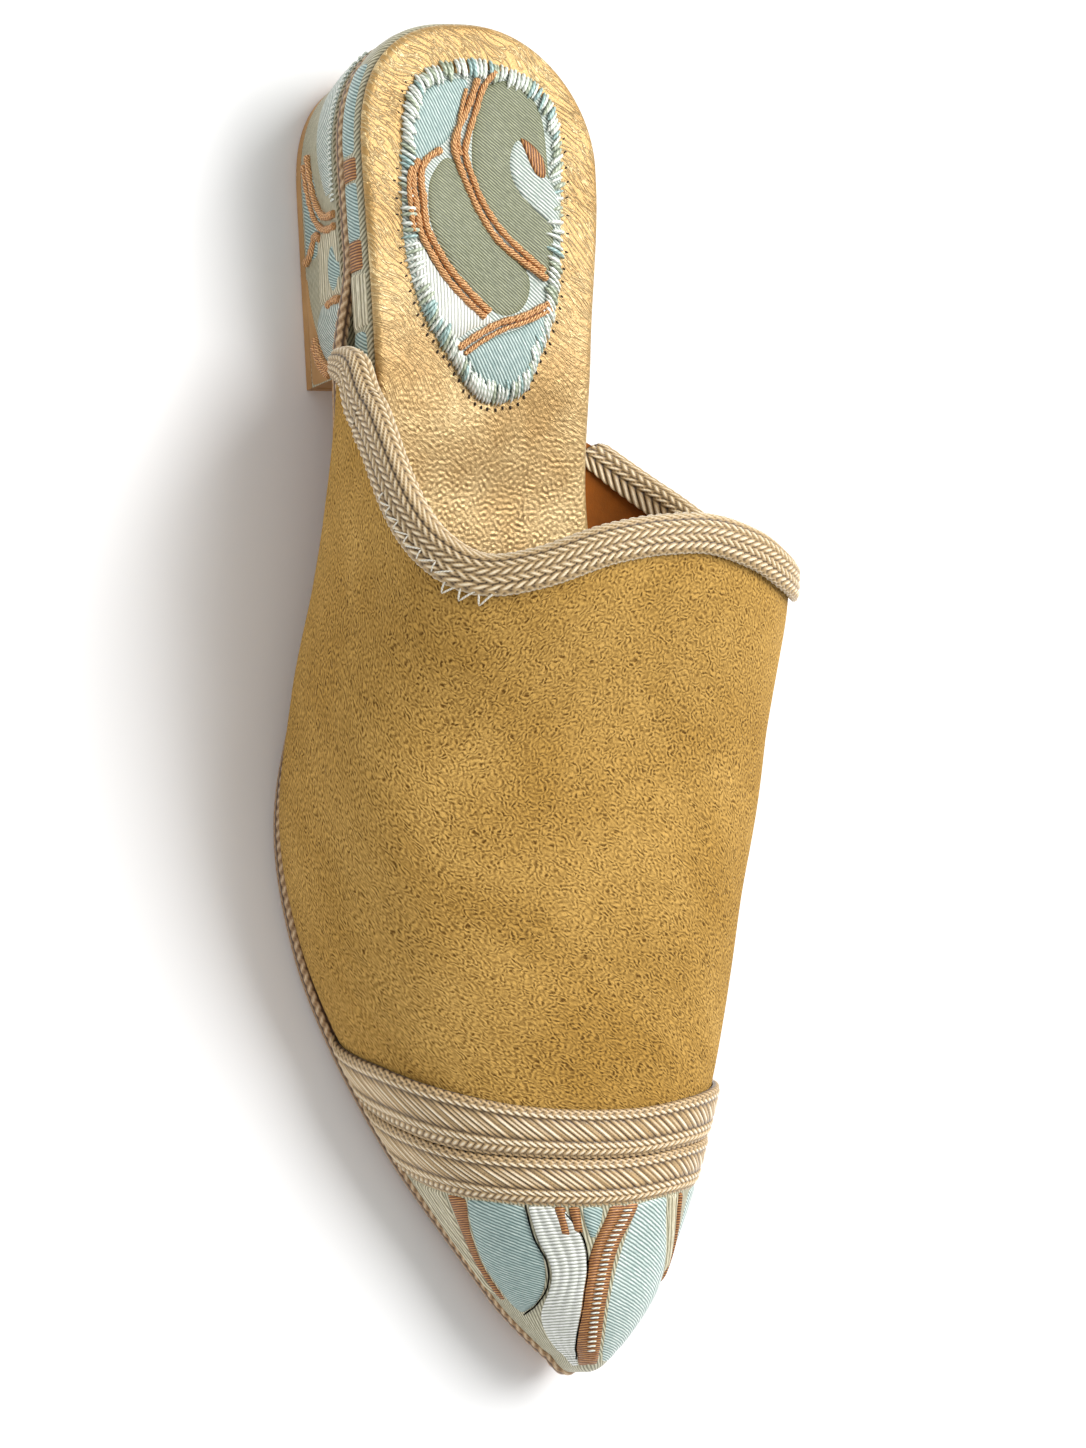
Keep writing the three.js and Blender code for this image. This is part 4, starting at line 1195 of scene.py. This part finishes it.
side = np.linspace(-NEAREST, NEAREST, 1600)
line = form(collar_line(side), side, 1.5)
length = travelled(line)
mm = np.arange(0, length[-1], COLLAR_PITCH / 9)
side = np.interp(mm, length, side)
step_side, step_x = across_collar(side)
near = GAP * 1.6
out, within = near + BRAID, -WALL - near - BRAID
# across the collar line, growth: up the outside leg, over the fold and down the inside one
section = np.array([
    (5.8, near), (5.85, near + 0.7), (5.5, out - 0.15), (4.5, out), (3.3, out), (2.1, out), (0.9, out),
    (-0.1, out - 0.25), (-0.95, out - 0.9), (-1.45, -0.2), (-1.55, -WALL / 2), (-1.45, -WALL + 0.2),
    (-0.95, within + 0.9), (-0.1, within + 0.25), (0.9, within), (2.2, within), (3.5, within),
    (4.6, within), (5.05, within + 0.3), (5.2, within + 0.75), (5.2, -WALL - near),
])
run_over = travelled(section)
v = np.linspace(0, run_over[-1], 64)
table = np.column_stack([run_over, section])
profile = np.stack([along(table, 1, v), along(table, 2, v)], -1)
width = np.clip(0.4 + 0.6 * (1 - np.abs(side)) / 0.24, 0.4, 1)[:, None]


def on_collar(across, grow):
    """A point at a distance across from the collar line, narrowed towards the two ends of the braid."""
    reach = np.where(across > 0, across * width, across)
    place = np.clip(side[:, None] + step_side[:, None] * reach, -NEAREST, NEAREST)
    return form(collar_line(side)[:, None] + step_x[:, None] * reach, place, grow)


base = on_collar(profile[None, :, 0], profile[None, :, 1])
core = on_collar(np.clip(profile[None, :, 0], 0.4, 5.2), np.full((1, len(v)), -WALL / 2))
borders = np.array([0, 1.35, 2.75, 4.15, 5.55, 6.95, 9.2, 10.6, 12.0, 13.4, run_over[-1]])
leans = np.array([2.2, -1.25, 1.25, -1.25, 1.25, 2.6, -1.25, 1.25, -1.25, 2.2])
relief = plait(mm[:, None], v[None, :], borders, leans, COLLAR_PITCH)
fade = np.clip(4 * np.minimum(v, run_over[-1] - v), 0, 1)[None, :]  # over the first and last 0.25 mm
points = raised(base, 0.62 * relief * fade - 0.34, base * 2 - core)
hidden = np.array([(5.2, -WALL - near), (-near, -WALL - near), (-near, near), (5.8, near)])
under = on_collar(hidden[None, :, 0], hidden[None, :, 1])
under = np.concatenate([points[:, -1:], under[:, 1:-1], points[:, :1]], 1)
flat = np.stack(np.broadcast_arrays(v[None, :], mm[:, None]), -1)
# colours: painted highlight, middle tone, painted shade in the dips
collar_braid = braided("champagne_linen_braid", "#FBEAC8", "#BD9E6E", "#33200C", roughness=0.4)
half = len(v) // 2
ends = [np.stack([points[k][:half], points[k][::-1][:half]]) for k in (0, -1)]
sheets = [(points, flat, 0, relief * fade)] + plain(under, *ends)
lay("plaited_collar", sheets, [collar_braid], ["collar_binding"], sharp=180)


def v_stitches(place, low, high, grow, radius):
    """Zigzag stitches over the braid's edge: each goes out to the suede and back a little further on."""
    index = np.round(np.interp(place, mm, np.arange(len(mm)))).astype(int)
    steps = ((low, grow), (high, grow + 0.9), (high, grow + 1.4))
    outer, inner, above = (on_collar(np.full((1, 1), a), np.full((1, 1), b))[index, 0] for a, b in steps)
    lift = (above - inner)[:-1]
    return plain(
        capsules(inner[:-1], outer[:-1], lift, radius),
        capsules(outer[:-1], inner[1:], lift, radius),
    )


throat = mm[-1] * 0.36 - 10.5 + np.arange(0, 8, 2.4)
beside = mm[-1] * 0.22 + np.arange(0, 22, 3.4)
lay("collar_stitches_throat", v_stitches(throat, 7.9, 4.9, 0.25, 0.2), [white_thread])
lay("collar_stitches_outer", v_stitches(beside, 5.6, 3.1, 1.2, 0.16), [white_thread])


# ---------------------------------------------------------------- stage
# A plain pale floor and soft studio light from the inner side. The camera looks down from the outer side and
# is rolled, so that the toe points down in its view.

floor_mesh = bpy.data.meshes.new("floor")
floor_mesh.from_pydata([(-3, -3, 0), (3, -3, 0), (3, 3, 0), (-3, 3, 0)], [], [(0, 1, 2, 3)])
floor = bpy.data.objects.new("floor", floor_mesh)
bpy.context.scene.collection.objects.link(floor)
paper, tree, shader = new_finish("matt_white_paper", {"Specular IOR Level": 0.1})
place = add(tree, "TexCoord", {}).outputs["Object"]
dress(tree, shader, colour("#F6F6F6"), 0.9, noise(tree, place, 300, 2), 0.03, 0.1)
floor_mesh.materials.append(paper)

world = bpy.data.worlds.new("studio")
world.use_nodes = True
world.node_tree.nodes["Background"].inputs[0].default_value = (1.0, 1.0, 1.0, 1.0)
world.node_tree.nodes["Background"].inputs[1].default_value = 0.6
bpy.context.scene.world = world


def stand(thing, right, back, place):
    """Puts a lamp or the camera at a place, by the directions of its right side and of its back."""
    turned = np.eye(4)
    turned[:3, :3] = np.stack([right, np.cross(back, right), back], 1)
    turned[:3, 3] = place
    thing.matrix_world = Matrix(turned.tolist())
    bpy.context.scene.collection.objects.link(thing)


def soft_box(name, place, target, size, power):
    """A square light of the given size in metres, turned to face its target."""
    light = bpy.data.lights.new(name, "AREA")
    light.size, light.energy = size, power
    away = unit(np.array(place, float) - np.array(target, float))
    stand(bpy.data.objects.new(name, light), unit(np.cross((0.0, 0.0, 1.0), away)), away, place)


soft_box("key", (-0.3, 0.58, 1.02), (0, 0, 0.02), 0.9, 18)
soft_box("fill", (0.5, -0.7, 0.9), (0, 0, 0.02), 1.0, 0.7)

CAMERA_AWAY = 0.9
azimuth, elevation, roll = math.radians(12), math.radians(60), math.radians(75.3)
low = math.cos(elevation)
back = np.array([math.sin(azimuth) * low, -math.cos(azimuth) * low, math.sin(elevation)])
level_right = np.array([math.cos(azimuth), math.sin(azimuth), 0.0])
right = level_right * math.cos(roll) + np.cross(back, level_right) * math.sin(roll)
aim = (np.array([131.5, 10.3, 21.5]) + shift) / 1000
lens = bpy.data.cameras.new("camera")
lens.lens, lens.sensor_width = 118.2, 36.0
camera = bpy.data.objects.new("camera", lens)
stand(camera, right, back, aim + back * CAMERA_AWAY)
bpy.context.scene.camera = camera
bpy.context.scene.view_settings.view_transform = "Standard"
